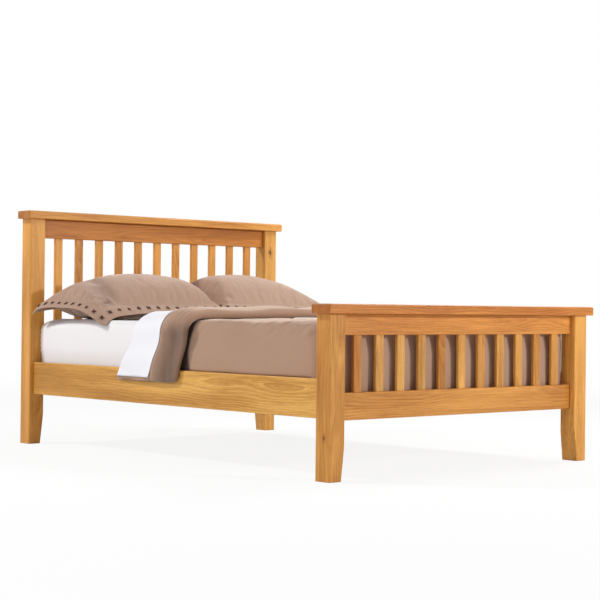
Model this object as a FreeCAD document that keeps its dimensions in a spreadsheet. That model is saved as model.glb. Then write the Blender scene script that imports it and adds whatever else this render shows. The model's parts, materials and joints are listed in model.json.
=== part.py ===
import FreeCAD, Part
import math
import os
import re

import Sketcher

# A slatted oak double bed with its mattress, duvet, turned back top sheet and pillows.
#
# Millimetres. X runs across the bed, +Y runs to the head end, +Z is up. The origin lies on
# the floor, in the middle of the bed. "Inner" means the side that faces the mattress.

# ---------------------------------------------------------------------------- driving sizes

SIZES = {
    # the mattress, and the room that the frame leaves round it
    "mattress_width": 1350.0,
    "mattress_length": 1900.0,
    "mattress_depth": 230.0,
    "mattress_corner": 60.0,
    "mattress_edge": 26.0,
    "mattress_low_edge": 10.0,
    "mattress_side_gap": 12.0,
    "mattress_end_gap": 5.0,
    "mattress_sink": 35.0,
    # square posts, tapered on the inner side of each foot
    "post_width": 76.0,
    "post_arris": 6.0,
    "foot_post_height": 604.0,
    "head_post_height": 1014.0,
    "toe_width": 58.0,
    "taper_height": 150.0,
    "taper_bend": 260.0,
    # caps that lie over posts and top rails
    "cap_thickness": 36.0,
    "cap_end_overhang": 22.0,
    "cap_front_overhang": 20.0,
    "cap_back_overhang": 6.0,
    "cap_corner": 7.0,
    "cap_top_edge": 7.0,
    "cap_low_edge": 3.0,
    # cross rails of the headboard and footboard, tenoned into the posts
    "cross_rail_thickness": 30.0,
    "cross_rail_inset": 21.0,
    "cross_rail_arris": 2.5,
    "bottom_rail_height": 100.0,
    "bottom_rail_clearance": 217.0,
    "foot_top_rail_height": 77.0,
    "head_top_rail_height": 85.0,
    "tenon_length": 35.0,
    "tenon_thickness": 12.0,
    "tenon_shoulder": 14.0,
    # upright slats between the cross rails
    "spindle_width": 40.0,
    "spindle_thickness": 15.0,
    "spindle_arris": 2.0,
    "spindle_tenon": 12.0,
    # side rails
    "side_rail_thickness": 25.0,
    "side_rail_height": 144.0,
    "side_rail_clearance": 224.0,
    "side_rail_inset": 18.0,
    "side_rail_arris": 3.0,
    # ledgers, centre beam and base slats
    "ledger_width": 30.0,
    "ledger_height": 30.0,
    "ledger_end_gap": 62.0,
    "slat_width": 90.0,
    "slat_depth": 20.0,
    "slat_arris": 3.0,
    "slat_side_play": 3.0,
    "slat_end_margin": 10.0,
    "beam_width": 45.0,
    "beam_height": 70.0,
    "beam_end_play": 0.6,
    "hanger_reach": 40.0,
    "hanger_ear": 22.0,
    # steel corner brackets with their bolts and threaded sleeves
    "steel": 3.0,
    "bracket_height": 76.0,
    "bracket_rise": 6.0,
    "bracket_rail_leg": 45.0,
    "bracket_post_leg": 28.0,
    "bolt_diameter": 8.0,
    "bolt_reach": 24.0,
    "bolt_head_width": 13.0,
    "bolt_head_depth": 5.0,
    "bolt_spacing": 40.0,
    "sleeve_diameter": 12.0,
    "sleeve_length": 21.0,
    # wood screws and dowels
    "screw_diameter": 4.0,
    "screw_head_diameter": 8.0,
    "screw_head_depth": 2.5,
    "short_screw": 18.0,
    "long_screw": 44.0,
    "rail_dowel_diameter": 10.0,
    "rail_dowel_length": 48.0,
    "rail_dowel_spacing": 80.0,
    "cap_dowel_diameter": 12.0,
    "cap_dowel_length": 44.0,
    "cap_dowel_inset": 21.0,
    "cap_dowel_in_cap": 20.0,
    # clearances: a glued joint, a drilled hole, and cloth against its neighbour
    "joint_play": 0.2,
    "drill_start": 1.0,
    "hole_play": 0.2,
    "cloth_gap": 0.3,
    # duvet
    "duvet_thickness": 22.0,
    "duvet_crown": 16.0,
    "duvet_shoulder": 32.0,
    "duvet_head": 112.0,
    "duvet_tuck_top": -252.0,
    "duvet_tuck_low": -172.0,
    "duvet_end_gap": 9.0,
    "duvet_end_drop": 8.0,
    "duvet_fold_depth": 3.0,
    # the part of the duvet that is turned back, and the top sheet folded over it
    "turn_thickness": 33.0,
    "turn_foot": -232.0,
    "turn_head": 130.0,
    "turn_drift_foot": 83.0,
    "turn_drift_head": 150.0,
    "turn_hang": 44.0,
    "turn_round": 14.0,
    "sheet_thickness": 2.5,
    "sheet_hem": -42.0,
    # pillows with a flat stitched border
    "pillow_length": 728.0,
    "pillow_depth": 498.0,
    "pillow_border": 38.0,
    "pillow_border_thickness": 3.0,
    "pillow_draw": 14.0,
    "pillow_crown": 148.0,
    "pillow_belly": 62.0,
    "pillow_seat": 57.0,
    "pillow_part": 20.0,
    "pillow_lean": 4.5,
    "pillow_head_gap": 24.0,
}

# a pillow's upper outline, as shares of its half depth and of its crown
PILLOW_ARCH = ((1.0, 0.0), (0.85, 0.42), (0.58, 0.78), (0.2, 0.985),
               (-0.2, 0.985), (-0.58, 0.78), (-0.85, 0.42), (-1.0, 0.0))
SPINDLES = 11
BASE_SLATS = 12
LEDGER_SCREWS = 5
DUVET_END_FOLDS = 7

# Sizes that follow from the driving ones, in the same words.
DERIVED = {
    "bed_width": "mattress_width + 2*(mattress_side_gap + side_rail_thickness + side_rail_inset)",
    "bed_length": "mattress_length + 2*(mattress_end_gap + post_width)",
    "inner_width": "bed_width - 2*post_width",
    "inner_length": "bed_length - 2*post_width",
    "post_x": "(bed_width - post_width)/2",
    "post_y": "(bed_length - post_width)/2",
    "board_y": "inner_length/2 + cross_rail_inset + cross_rail_thickness/2",
    "board_inner_y": "inner_length/2 + cross_rail_inset",
    "board_offset": "board_y - post_y",
    "bottom_rail_top": "bottom_rail_clearance + bottom_rail_height",
    "spindle_pitch": f"(inner_width - {SPINDLES}*spindle_width)/{SPINDLES + 1} + spindle_width",
    "side_rail_x": "bed_width/2 - side_rail_inset - side_rail_thickness/2",
    "side_rail_inner_x": "bed_width/2 - side_rail_inset - side_rail_thickness",
    "side_rail_outer_x": "bed_width/2 - side_rail_inset",
    "side_rail_top": "side_rail_clearance + side_rail_height",
    "slat_top": "side_rail_top - mattress_sink",
    "slat_under": "slat_top - slat_depth",
    "slat_reach": "inner_length/2 - slat_end_margin - slat_width/2",
    "slat_pitch": f"2*slat_reach/{BASE_SLATS - 1}",
    "beam_half": "board_inner_y - steel - beam_end_play",
    "bed_shift": "(cap_front_overhang - cap_back_overhang)/2",
    "rail_middle_z": "side_rail_clearance + side_rail_height/2",
    "bracket_z": "side_rail_clearance + bracket_rise + bracket_height/2",
    "bracket_screw_y": "inner_length/2 - (bracket_rail_leg + steel)/2",
    "hanger_screw_x": "beam_width/2 + joint_play + steel + hanger_ear/2",
    "hanger_top": "beam_height*0.8",
    "bolt_flats": "bolt_diameter*cos(22.5*1deg)",
    "sleeve_flats": "sleeve_diameter*cos(22.5*1deg)",
    "hanger_screw_z": "slat_under - beam_height + hanger_top/2",
    "mattress_low": "slat_top + cloth_gap",
    "mattress_top": "mattress_low + mattress_depth",
    "duvet_side": "mattress_width/2 + cloth_gap + duvet_thickness",
    "duvet_end_width": "inner_width - 2*duvet_end_gap",
    "duvet_under": "mattress_top + cloth_gap",
    "duvet_top": "duvet_under + duvet_thickness",
    "shoulder_x": "duvet_side - duvet_shoulder",
    "shoulder_z": "duvet_top - duvet_shoulder",
    "turn_under": "duvet_top + cloth_gap",
    "turn_inner_x": "side_rail_outer_x + cloth_gap",
    "turn_low": "side_rail_top - turn_hang",
    "sheet_from": "turn_thickness + cloth_gap",
    "sheet_to": "turn_thickness + cloth_gap + sheet_thickness",
    "pillow_fill_length": "pillow_length - 2*pillow_border",
    "pillow_fill_depth": "pillow_depth - 2*pillow_border",
    "pillow_z": "mattress_top + cloth_gap + pillow_seat",
    "pillow_x": "(pillow_length + pillow_part)/2",
    "pillow_y": "inner_length/2 - pillow_head_gap - pillow_depth/2",
}

WORD = re.compile(r"[a-z][a-z_0-9]*")

doc = FreeCAD.newDocument("slatted_bed")
sheet = doc.addObject("Spreadsheet::Sheet", "Sizes")
for row, (alias, number) in enumerate(SIZES.items(), start=1):
    sheet.set(f"A{row}", alias)
    sheet.set(f"B{row}", str(number))
    sheet.setAlias(f"B{row}", alias)
doc.recompute()


def bound(text):
    """Return an expression on the sheet's cells for a phrase of size names."""
    def swap(match):
        name = match.group(0)
        if name in DERIVED:
            return "(" + bound(DERIVED[name]) + ")"
        if name in SIZES:
            return "Sizes." + name
        return name
    return WORD.sub(swap, text)


def value(text):
    """Return the number that a phrase of size names has now."""
    return float(sheet.evalExpression(bound(text)))


def bind(thing, prop, text):
    """Tie a property to a phrase of size names."""
    thing.setExpression(prop, bound(text))


# ---------------------------------------------------------------------------- building blocks

def place(thing, x="0", y="0", z="0"):
    """Tie the place of a sub-part to phrases of size names, counted from the mattress's middle.

    The caps reach further on one side, so the whole bed is shifted to centre it on the origin.
    """
    for axis, text in (("x", x), ("y", f"{y} + bed_shift"), ("z", z)):
        bind(thing, f"Placement.Base.{axis}", text)


def new_body(label, x="0", y="0", z="0"):
    """Start a body for one sub-part."""
    body = doc.addObject("PartDesign::Body", label)
    body.Label = label
    place(body, x, y, z)
    return body


def new_sketch(body, name, plane, lift="0"):
    """Attach a sketch to an origin plane of its body, lifted along the plane's normal."""
    sketch = body.newObject("Sketcher::SketchObject", name)
    support = [item for item in body.Origin.OriginFeatures if item.Role == plane][0]
    sketch.AttachmentSupport = [(support, "")]
    sketch.MapMode = "FlatFace"
    bind(sketch, "AttachmentOffset.Base.z", lift)
    return sketch


def pin(sketch, geometry, end, x, y):
    """Fix an end point of a sketch's edge at two phrases of size names."""
    for kind, text in (("DistanceX", x), ("DistanceY", y)):
        number = sketch.addConstraint(Sketcher.Constraint(kind, -1, 1, geometry, end, value(text)))
        bind(sketch, f"Constraints[{number}]", text)


def outline(body, name, plane, corners, rises=None, lift="0"):
    """Sketch a closed outline through corners given counter-clockwise.

    rises gives an edge's number, counted from 0 at the first corner, the height of its arc:
    above zero the edge bows outwards, below zero inwards. The other edges are straight.
    """
    rises = rises or {}
    sketch = new_sketch(body, name, plane, lift)
    points = [FreeCAD.Vector(value(x), value(y), 0) for x, y in corners]
    ends = []
    for index, start in enumerate(points):
        stop = points[(index + 1) % len(points)]
        if index not in rises:
            number = sketch.addGeometry(Part.LineSegment(start, stop), False)
            ends.append((number, 1, 2))
            continue
        rise = value(rises[index])
        half = start.distanceToPoint(stop)/2
        radius = (half*half + rise*rise)/(2*abs(rise))
        along = (stop - start).normalize()
        left = FreeCAD.Vector(-along.y, along.x, 0)
        turn = 1 if rise > 0 else -1
        centre = (start + stop)*0.5 + left*turn*(radius - abs(rise))
        first, last = (start, stop) if rise > 0 else (stop, start)
        angles = [math.atan2(p.y - centre.y, p.x - centre.x) for p in (first, last)]
        if angles[1] < angles[0]:
            angles[1] += 2*math.pi
        circle = Part.Circle(centre, FreeCAD.Vector(0, 0, 1), radius)
        number = sketch.addGeometry(Part.ArcOfCircle(circle, *angles), False)
        ends.append((number, 1, 2) if rise > 0 else (number, 2, 1))
        (x0, y0), (x1, y1) = corners[index], corners[(index + 1) % len(corners)]
        chord = f"((({x1}) - ({x0}))^2 + (({y1}) - ({y0}))^2)"
        size = f"({chord}/4 + ({rises[index]})^2)/(2*abs({rises[index]}))"
        held = sketch.addConstraint(Sketcher.Constraint("Radius", number, radius))
        bind(sketch, f"Constraints[{held}]", size)
    for index, (number, _, stop) in enumerate(ends):
        after, begin, _ = ends[(index + 1) % len(ends)]
        sketch.addConstraint(Sketcher.Constraint("Coincident", number, stop, after, begin))
    for (number, begin, _), (x, y) in zip(ends, corners):
        pin(sketch, number, begin, x, y)
    return sketch


def rectangle(body, name, plane, x0, x1, y0, y1, lift="0"):
    """Sketch a rectangle between two phrases on each of a plane's axes."""
    return outline(body, name, plane, [(x0, y0), (x1, y0), (x1, y1), (x0, y1)], lift=lift)


def pad(body, sketch, length, side="Symmetric", reverse=False):
    """Add material on a sketch, on both sides of it unless told otherwise."""
    feature = body.newObject("PartDesign::Pad", sketch.Name + "_pad")
    feature.Profile = sketch
    feature.SideType = side
    feature.Reversed = reverse
    bind(feature, "Length", length)
    doc.recompute()
    return feature


def pocket(body, sketch, length):
    """Cut a sketch out of a body, on both sides of the sketch, and see that it did cut."""
    before = body.Shape.Volume
    feature = body.newObject("PartDesign::Pocket", sketch.Name + "_cut")
    feature.Profile = sketch
    feature.SideType = "Symmetric"
    bind(feature, "Length", length)
    doc.recompute()
    if not body.Shape.Volume < before - 1e-6:
        raise RuntimeError(f"{body.Label}: {feature.Name} removes nothing")
    return feature


def prism(body, name, kind, start, direction, across, length, faces=8):
    """Add or cut a regular prism, measured across its flats, from a point along a direction.

    Hidden holes, dowels and screws are such prisms, which have far fewer facets than cylinders.
    """
    feature = body.newObject("PartDesign::" + kind, f"{body.Name}_{name}")
    turn = FreeCAD.Rotation(FreeCAD.Vector(0, 0, 1), FreeCAD.Vector(*direction))
    feature.Placement = FreeCAD.Placement(FreeCAD.Vector(), turn)
    feature.Polygon = faces
    bind(feature, "Circumradius", f"({across})/2/cos({180/faces}*1deg)")
    bind(feature, "Height", length)
    for axis, text in zip("xyz", start):
        bind(feature, f"Placement.Base.{axis}", text)
    doc.recompute()
    return feature


def drill(body, name, mouth, direction, diameter, depth):
    """Cut a hole from its mouth inwards, and see that it did cut."""
    before = body.Shape.Volume
    start = [f"({text}) - ({step})*drill_start" for text, step in zip(mouth, direction)]
    feature = prism(body, name, "SubtractivePrism", start, direction, diameter,
                    f"({depth}) + drill_start")
    if not body.Shape.Volume < before - 1e-6:
        raise RuntimeError(f"{body.Label}: {feature.Name} removes nothing")
    return feature


def row_of(body, feature, count, span):
    """Repeat a feature along the body's X axis, over a span given as a phrase."""
    axis = [item for item in body.Origin.OriginFeatures if item.Role == "X_Axis"][0]
    pattern = body.newObject("PartDesign::LinearPattern", feature.Name + "_row")
    pattern.Originals = [feature]
    pattern.Direction = (axis, [""])
    pattern.Mode = "Extent"
    bind(pattern, "Length", span)
    pattern.Occurrences = count
    body.Tip = pattern
    doc.recompute()
    return pattern


def spans(edge):
    """Return how far an edge reaches along each axis."""
    box = edge.BoundBox
    return box.XLength, box.YLength, box.ZLength


def straight(edge, axis):
    """Tell whether an edge is a straight one along the axis of the given number."""
    reach = spans(edge)
    return all(reach[other] < 1e-6 for other in range(3) if other != axis) and reach[axis] > 1e-3


def ease_edges(body, name, choose, size, kind="Fillet"):
    """Fillet or chamfer those edges of a body's present shape that a test picks."""
    base = body.Tip
    shape = base.Shape
    names = [f"Edge{n}" for n, edge in enumerate(shape.Edges, start=1) if choose(edge)]
    if not names:
        raise RuntimeError(f"{body.Label}: no edge for {name}")
    feature = body.newObject("PartDesign::" + kind, f"{body.Name}_{name}")
    feature.Base = (base, names)
    bind(feature, "Radius" if kind == "Fillet" else "Size", size)
    doc.recompute()
    return feature


def middle(edge):
    """Return the middle of an edge's bounding box."""
    return edge.BoundBox.Center


# ---------------------------------------------------------------------------- oak frame

def build_post(label, side, end, height):
    """Make a post: side is -1 or 1 across the bed, end is -1 at the foot and 1 at the head."""
    body = new_body(label, f"{side}*post_x", f"{end}*post_y", "0")
    half = "post_width/2"
    pad(body, rectangle(body, f"{label}_section", "XY_Plane", f"-{half}", half, f"-{half}", half),
        height, side="One side")
    ease_edges(body, "arris", lambda edge: straight(edge, 2), "post_arris")

    # the foot tapers on the inner side, with a gentle bend at its start
    slope = "(post_width - toe_width)/taper_height"
    bend = f"taper_bend*tan(atan({slope})/2)"
    start = ("post_width/2", f"taper_height + {bend}")
    eased = (f"post_width/2 - {slope}*{bend}*cos(atan({slope}))",
             f"taper_height - {bend}*cos(atan({slope}))")
    toe, heel = ("toe_width - post_width/2", "0"), ("post_width/2", "0")
    chord = f"((({start[0]}) - ({eased[0]}))^2 + (({start[1]}) - ({eased[1]}))^2)^0.5"
    rise = f"taper_bend - (taper_bend^2 - ({chord}/2)^2)^0.5"
    wedge = [start, eased, toe, heel] if side < 0 else [heel, toe, eased, start]
    wedge = [(f"{-side}*({x})", z) for x, z in wedge]
    curved = {0 if side < 0 else 2: f"-({rise})"}
    pocket(body, outline(body, f"{label}_taper", "XZ_Plane", wedge, curved), "2*post_width")

    # mortises for the cross rails' tenons
    top = "foot_top_rail_height" if end < 0 else "head_top_rail_height"
    rows = (("low", "bottom_rail_clearance + tenon_shoulder",
             "bottom_rail_top - tenon_shoulder"),
            ("high", f"{height} - {top} + tenon_shoulder", f"{height} - tenon_shoulder"))
    offset = f"{end}*board_offset"
    for name, low, high in rows:
        sketch = rectangle(body, f"{label}_{name}_mortise", "YZ_Plane",
                           f"{offset} - tenon_thickness/2 - joint_play",
                           f"{offset} + tenon_thickness/2 + joint_play",
                           f"{low} - joint_play", f"{high} + joint_play",
                           lift=f"{-side}*post_width/2")
        pocket(body, sketch, "2*(tenon_length + joint_play)")

    # holes in the face that the side rail meets, and one for the cap's dowel
    rail_x = f"{side}*(side_rail_x - post_x)"
    bolt_x = f"{side}*(side_rail_inner_x - (bracket_post_leg + steel)/2 - post_x)"
    face_y, inwards = f"{-end}*post_width/2", (0, end, 0)
    for name, up in (("low", -1), ("high", 1)):
        drill(body, f"{name}_dowel_hole",
              (rail_x, face_y, f"rail_middle_z + {up}*rail_dowel_spacing/2"), inwards,
              "rail_dowel_diameter + hole_play", "rail_dowel_length/2 + hole_play")
        drill(body, f"{name}_sleeve_hole",
              (bolt_x, face_y, f"bracket_z + {up}*bolt_spacing/2"), inwards,
              "sleeve_diameter + hole_play", "bolt_reach + hole_play")
    drill(body, "cap_dowel_hole", (f"{side}*(post_width/2 - cap_dowel_inset)", "0", height),
          (0, 0, -1), "cap_dowel_diameter + hole_play",
          "cap_dowel_length - cap_dowel_in_cap + hole_play")
    return body


def build_cap(label, end, height):
    """Make a cap: a board with rounded corners that lies over two posts and a top rail."""
    body = new_body(label, "0", f"{end}*post_y", height)
    reach = "bed_width/2 + cap_end_overhang"
    front = "-post_width/2 - cap_front_overhang"
    back = "post_width/2 + cap_back_overhang"
    pad(body, rectangle(body, f"{label}_plan", "XY_Plane", f"-({reach})", reach, front, back),
        "cap_thickness", side="One side")
    ease_edges(body, "corners", lambda edge: straight(edge, 2), "cap_corner")
    top = value("cap_thickness")
    ease_edges(body, "top_edge", lambda edge: spans(edge)[2] < 1e-6
                and abs(middle(edge).z - top) < 1e-6, "cap_top_edge")
    ease_edges(body, "low_edge", lambda edge: spans(edge)[2] < 1e-6
               and abs(middle(edge).z) < 1e-6, "cap_low_edge", "Chamfer")
    for name, side in (("left", -1), ("right", 1)):
        drill(body, f"{name}_dowel_hole", (f"{side}*(bed_width/2 - cap_dowel_inset)", "0", "0"),
              (0, 0, 1), "cap_dowel_diameter + hole_play", "cap_dowel_in_cap + hole_play")
    return body


def build_cross_rail(label, end, rail_height, low, mortise_side):
    """Make a cross rail with a tenon at each end and a row of mortises for the spindles."""
    body = new_body(label, "0", f"{end}*board_y", f"{low} + {rail_height}/2")
    half = f"{rail_height}/2"
    thick = "cross_rail_thickness/2"
    pad(body, rectangle(body, f"{label}_section", "YZ_Plane", f"-{thick}", thick, f"-{half}", half),
        "inner_width")
    ease_edges(body, "arris", lambda edge: straight(edge, 0), "cross_rail_arris", "Chamfer")
    pad(body, rectangle(body, f"{label}_tenon", "YZ_Plane",
                        "-tenon_thickness/2", "tenon_thickness/2",
                        f"-{half} + tenon_shoulder", f"{half} - tenon_shoulder"),
        "inner_width + 2*tenon_length")
    first = f"-spindle_pitch*{(SPINDLES - 1)/2}"
    mortise = rectangle(body, f"{label}_mortise", "XY_Plane",
                        f"{first} - spindle_width/2 - joint_play",
                        f"{first} + spindle_width/2 + joint_play",
                        "-spindle_thickness/2 - joint_play", "spindle_thickness/2 + joint_play",
                        lift=f"{mortise_side}*{half}")
    cut = pocket(body, mortise, "2*(spindle_tenon + joint_play)")
    row_of(body, cut, SPINDLES, f"spindle_pitch*{SPINDLES - 1}")
    if mortise_side > 0:
        for name, side in (("left", -1), ("right", 1)):
            drill(body, f"{name}_pilot",
                  (f"{side}*hanger_screw_x", f"{-end}*cross_rail_thickness/2",
                   f"hanger_screw_z - ({low} + {half})"), (0, end, 0),
                  "screw_diameter + hole_play", "short_screw - steel + hole_play")
    return body


def build_spindle(label, index, end, low, high):
    """Make one upright slat, let into the rails above and below."""
    body = new_body(label, f"spindle_pitch*{index - (SPINDLES - 1)/2}", f"{end}*board_y",
                    f"({low} + {high})/2")
    wide, thick = "spindle_width/2", "spindle_thickness/2"
    pad(body, rectangle(body, f"{label}_section", "XY_Plane", f"-{wide}", wide, f"-{thick}", thick),
        f"({high}) - ({low}) + 2*spindle_tenon")
    ease_edges(body, "arris", lambda edge: straight(edge, 2), "spindle_arris", "Chamfer")
    return body


def build_side_rail(label, side):
    """Make a side rail that butts between two posts, drilled for dowels."""
    body = new_body(label, f"{side}*side_rail_x", "0", "side_rail_clearance + side_rail_height/2")
    thick, tall = "side_rail_thickness/2", "side_rail_height/2"
    pad(body, rectangle(body, f"{label}_section", "XZ_Plane", f"-{thick}", thick, f"-{tall}", tall),
        "inner_length")
    ease_edges(body, "arris", lambda edge: straight(edge, 1), "side_rail_arris")
    for name, end in (("foot", -1), ("head", 1)):
        for level, up in (("low", -1), ("high", 1)):
            drill(body, f"{name}_{level}_dowel_hole",
                  ("0", f"{end}*inner_length/2", f"{up}*rail_dowel_spacing/2"), (0, -end, 0),
                  "rail_dowel_diameter + hole_play", "rail_dowel_length/2 + hole_play")
            drill(body, f"{name}_{level}_pilot",
                  (f"{-side}*side_rail_thickness/2", f"{end}*bracket_screw_y",
                   f"bracket_z + {up}*bolt_spacing/2 - rail_middle_z"), (side, 0, 0),
                  "screw_diameter + hole_play", "short_screw - steel + hole_play")
    for number, y in enumerate(ledger_screw_places(), start=1):
        drill(body, f"ledger_pilot_{number}",
              (f"{-side}*side_rail_thickness/2", y, "slat_under - ledger_height/2 - rail_middle_z"),
              (side, 0, 0), "screw_diameter + hole_play", "long_screw - ledger_width + hole_play")
    return body


# ---------------------------------------------------------------------------- mattress base

def build_ledger(label, side):
    """Make the batten, screwed to a side rail, that the base slats rest on."""
    body = new_body(label, f"{side}*(side_rail_inner_x - ledger_width/2)", "0",
                    "slat_under - ledger_height/2")
    wide, tall = "ledger_width/2", "ledger_height/2"
    pad(body, rectangle(body, f"{label}_section", "XZ_Plane", f"-{wide}", wide, f"-{tall}", tall),
        "inner_length - 2*ledger_end_gap")
    for number, y in enumerate(ledger_screw_places(), start=1):
        drill(body, f"hole_{number}", (f"{-side}*ledger_width/2", y, "0"), (side, 0, 0),
              "screw_diameter + hole_play", "ledger_width + drill_start")
    return body


def ledger_screw_places():
    """Return the places along the bed of one ledger's screws."""
    step = f"(inner_length - 2*ledger_end_gap)/{LEDGER_SCREWS}"
    return [f"{step}*{index - (LEDGER_SCREWS - 1)/2}" for index in range(LEDGER_SCREWS)]


def build_base_slat(label, index):
    """Make one slat that carries the mattress."""
    body = new_body(label, "0", f"slat_pitch*{index - (BASE_SLATS - 1)/2}",
                    "slat_under + slat_depth/2")
    wide, tall = "slat_width/2", "slat_depth/2"
    pad(body, rectangle(body, f"{label}_section", "YZ_Plane", f"-{wide}", wide, f"-{tall}", tall),
        "2*(side_rail_inner_x - slat_side_play)")
    ease_edges(body, "arris", lambda edge: straight(edge, 0) and middle(edge).z > 0,
               "slat_arris", "Chamfer")
    return body


def build_centre_beam(label):
    """Make the beam under the middle of the slats."""
    body = new_body(label, "0", "0", "slat_under - beam_height/2")
    wide, tall = "beam_width/2", "beam_height/2"
    pad(body, rectangle(body, f"{label}_section", "XZ_Plane", f"-{wide}", wide, f"-{tall}", tall),
        "2*beam_half")
    return body


def build_hanger(name, end):
    """Make a bent steel saddle on a bottom rail, open above, that holds one end of the beam."""
    body = new_body(name, "0", f"{end}*board_inner_y", "slat_under - beam_height")
    inner = "beam_width/2 + joint_play"
    outer = "beam_width/2 + joint_play + steel"
    top = "hanger_top"
    cup = [(f"-({outer})", "-steel"), (outer, "-steel"), (outer, top), (inner, top),
           (inner, "0"), (f"-({inner})", "0"), (f"-({inner})", top), (f"-({outer})", top)]
    away = "One side"
    pad(body, outline(body, f"{name}_cup", "XZ_Plane", cup), "hanger_reach", side=away,
        reverse=end < 0)
    ear = f"{outer} + hanger_ear"
    plate = rectangle(body, f"{name}_plate", "XZ_Plane", f"-({ear})", ear, "-steel", top)
    pad(body, plate, "steel", side=away, reverse=end < 0)
    for hand, side in (("left", -1), ("right", 1)):
        drill(body, f"{hand}_hole", (f"{side}*hanger_screw_x", f"{-end}*steel", f"{top}/2"),
              (0, end, 0), "screw_diameter + hole_play", "steel + drill_start")
    return body


def build_bracket(name, side, end):
    """Make a corner bracket that bolts a side rail to its post."""
    body = new_body(name, f"{side}*side_rail_inner_x", f"{end}*inner_length/2", "bracket_z")
    rail_leg, post_leg = f"{-end}*bracket_rail_leg", f"{-side}*bracket_post_leg"
    thick_x, thick_y = f"{-side}*steel", f"{-end}*steel"
    corners = [("0", "0"), (post_leg, "0"), (post_leg, thick_y), (thick_x, thick_y),
               (thick_x, rail_leg), ("0", rail_leg)]
    if side*end < 0:
        corners = corners[::-1]
    pad(body, outline(body, f"{name}_angle", "XY_Plane", corners), "bracket_height")
    for level, up in (("low", -1), ("high", 1)):
        drill(body, f"{level}_bolt_hole",
              (f"{-side}*(bracket_post_leg + steel)/2", f"{-end}*steel", f"{up}*bolt_spacing/2"),
              (0, end, 0), "bolt_diameter + 2*hole_play", "steel + drill_start")
        drill(body, f"{level}_screw_hole",
              (f"{-side}*steel", f"{-end}*(bracket_rail_leg + steel)/2", f"{up}*bolt_spacing/2"),
              (side, 0, 0), "screw_diameter + hole_play", "steel + drill_start")
    return body


# ---------------------------------------------------------------------------- fasteners

def loose_body(name):
    """Start a body that only its copies show."""
    body = doc.addObject("PartDesign::Body", name)
    body.Label = name
    return body


def build_bolt(name):
    """Make a hexagon bolt: its shank runs down from the origin, its head stands above."""
    body = loose_body(name)
    prism(body, "head", "AdditivePrism", ("0", "0", "0"), (0, 0, 1), "bolt_head_width",
          "bolt_head_depth", 6)
    prism(body, "shank", "AdditivePrism", ("0", "0", "-(bolt_reach + steel)"), (0, 0, 1),
          "bolt_flats", "bolt_reach + steel")
    return body


def build_sleeve(name):
    """Make a threaded sleeve that runs down from the origin."""
    body = loose_body(name)
    prism(body, "wall", "AdditivePrism", ("0", "0", "-sleeve_length"), (0, 0, 1),
          "sleeve_flats", "sleeve_length")
    drill(body, "bore", ("0", "0", "0"), (0, 0, -1), "bolt_flats + joint_play",
          "sleeve_length + drill_start")
    return body


def build_screw(name, length):
    """Make a wood screw whose head stands on the origin."""
    body = loose_body(name)
    prism(body, "head", "AdditivePrism", ("0", "0", "0"), (0, 0, 1), "screw_head_diameter",
          "screw_head_depth")
    prism(body, "shank", "AdditivePrism", ("0", "0", f"-{length}"), (0, 0, 1),
          "screw_diameter", length)
    return body


def build_dowel(name, diameter, length):
    """Make a fluted wooden dowel, centred on the origin."""
    body = loose_body(name)
    prism(body, "peg", "AdditivePrism", ("0", "0", f"-{length}/2"), (0, 0, 1), diameter,
          length)
    return body


def copies(label, placed):
    """Gather placed copies of bodies into one sub-part of separate solids.

    placed lists a body, the direction that its +Z takes, and three phrases for its place.
    """
    links = []
    for number, (body, direction, x, y, z) in enumerate(placed, start=1):
        link = doc.addObject("App::Link", f"{label}_{number}")
        link.LinkedObject = body
        turn = FreeCAD.Rotation(FreeCAD.Vector(0, 0, 1), FreeCAD.Vector(*direction))
        link.Placement = FreeCAD.Placement(FreeCAD.Vector(), turn)
        place(link, x, y, z)
        links.append(link)
    group = doc.addObject("Part::Compound", label)
    group.Label = label
    group.Links = links
    doc.recompute()
    return group


def corners_of_bed():
    """Return the side and end numbers of the four corners."""
    return [(side, end) for side in (-1, 1) for end in (-1, 1)]


def bolt_places():
    """Return side, end, X and Z of each bracket bolt."""
    x = "side_rail_inner_x - (bracket_post_leg + steel)/2"
    return [(side, end, f"{side}*({x})", f"bracket_z + {up}*bolt_spacing/2")
            for side, end in corners_of_bed() for up in (-1, 1)]


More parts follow.
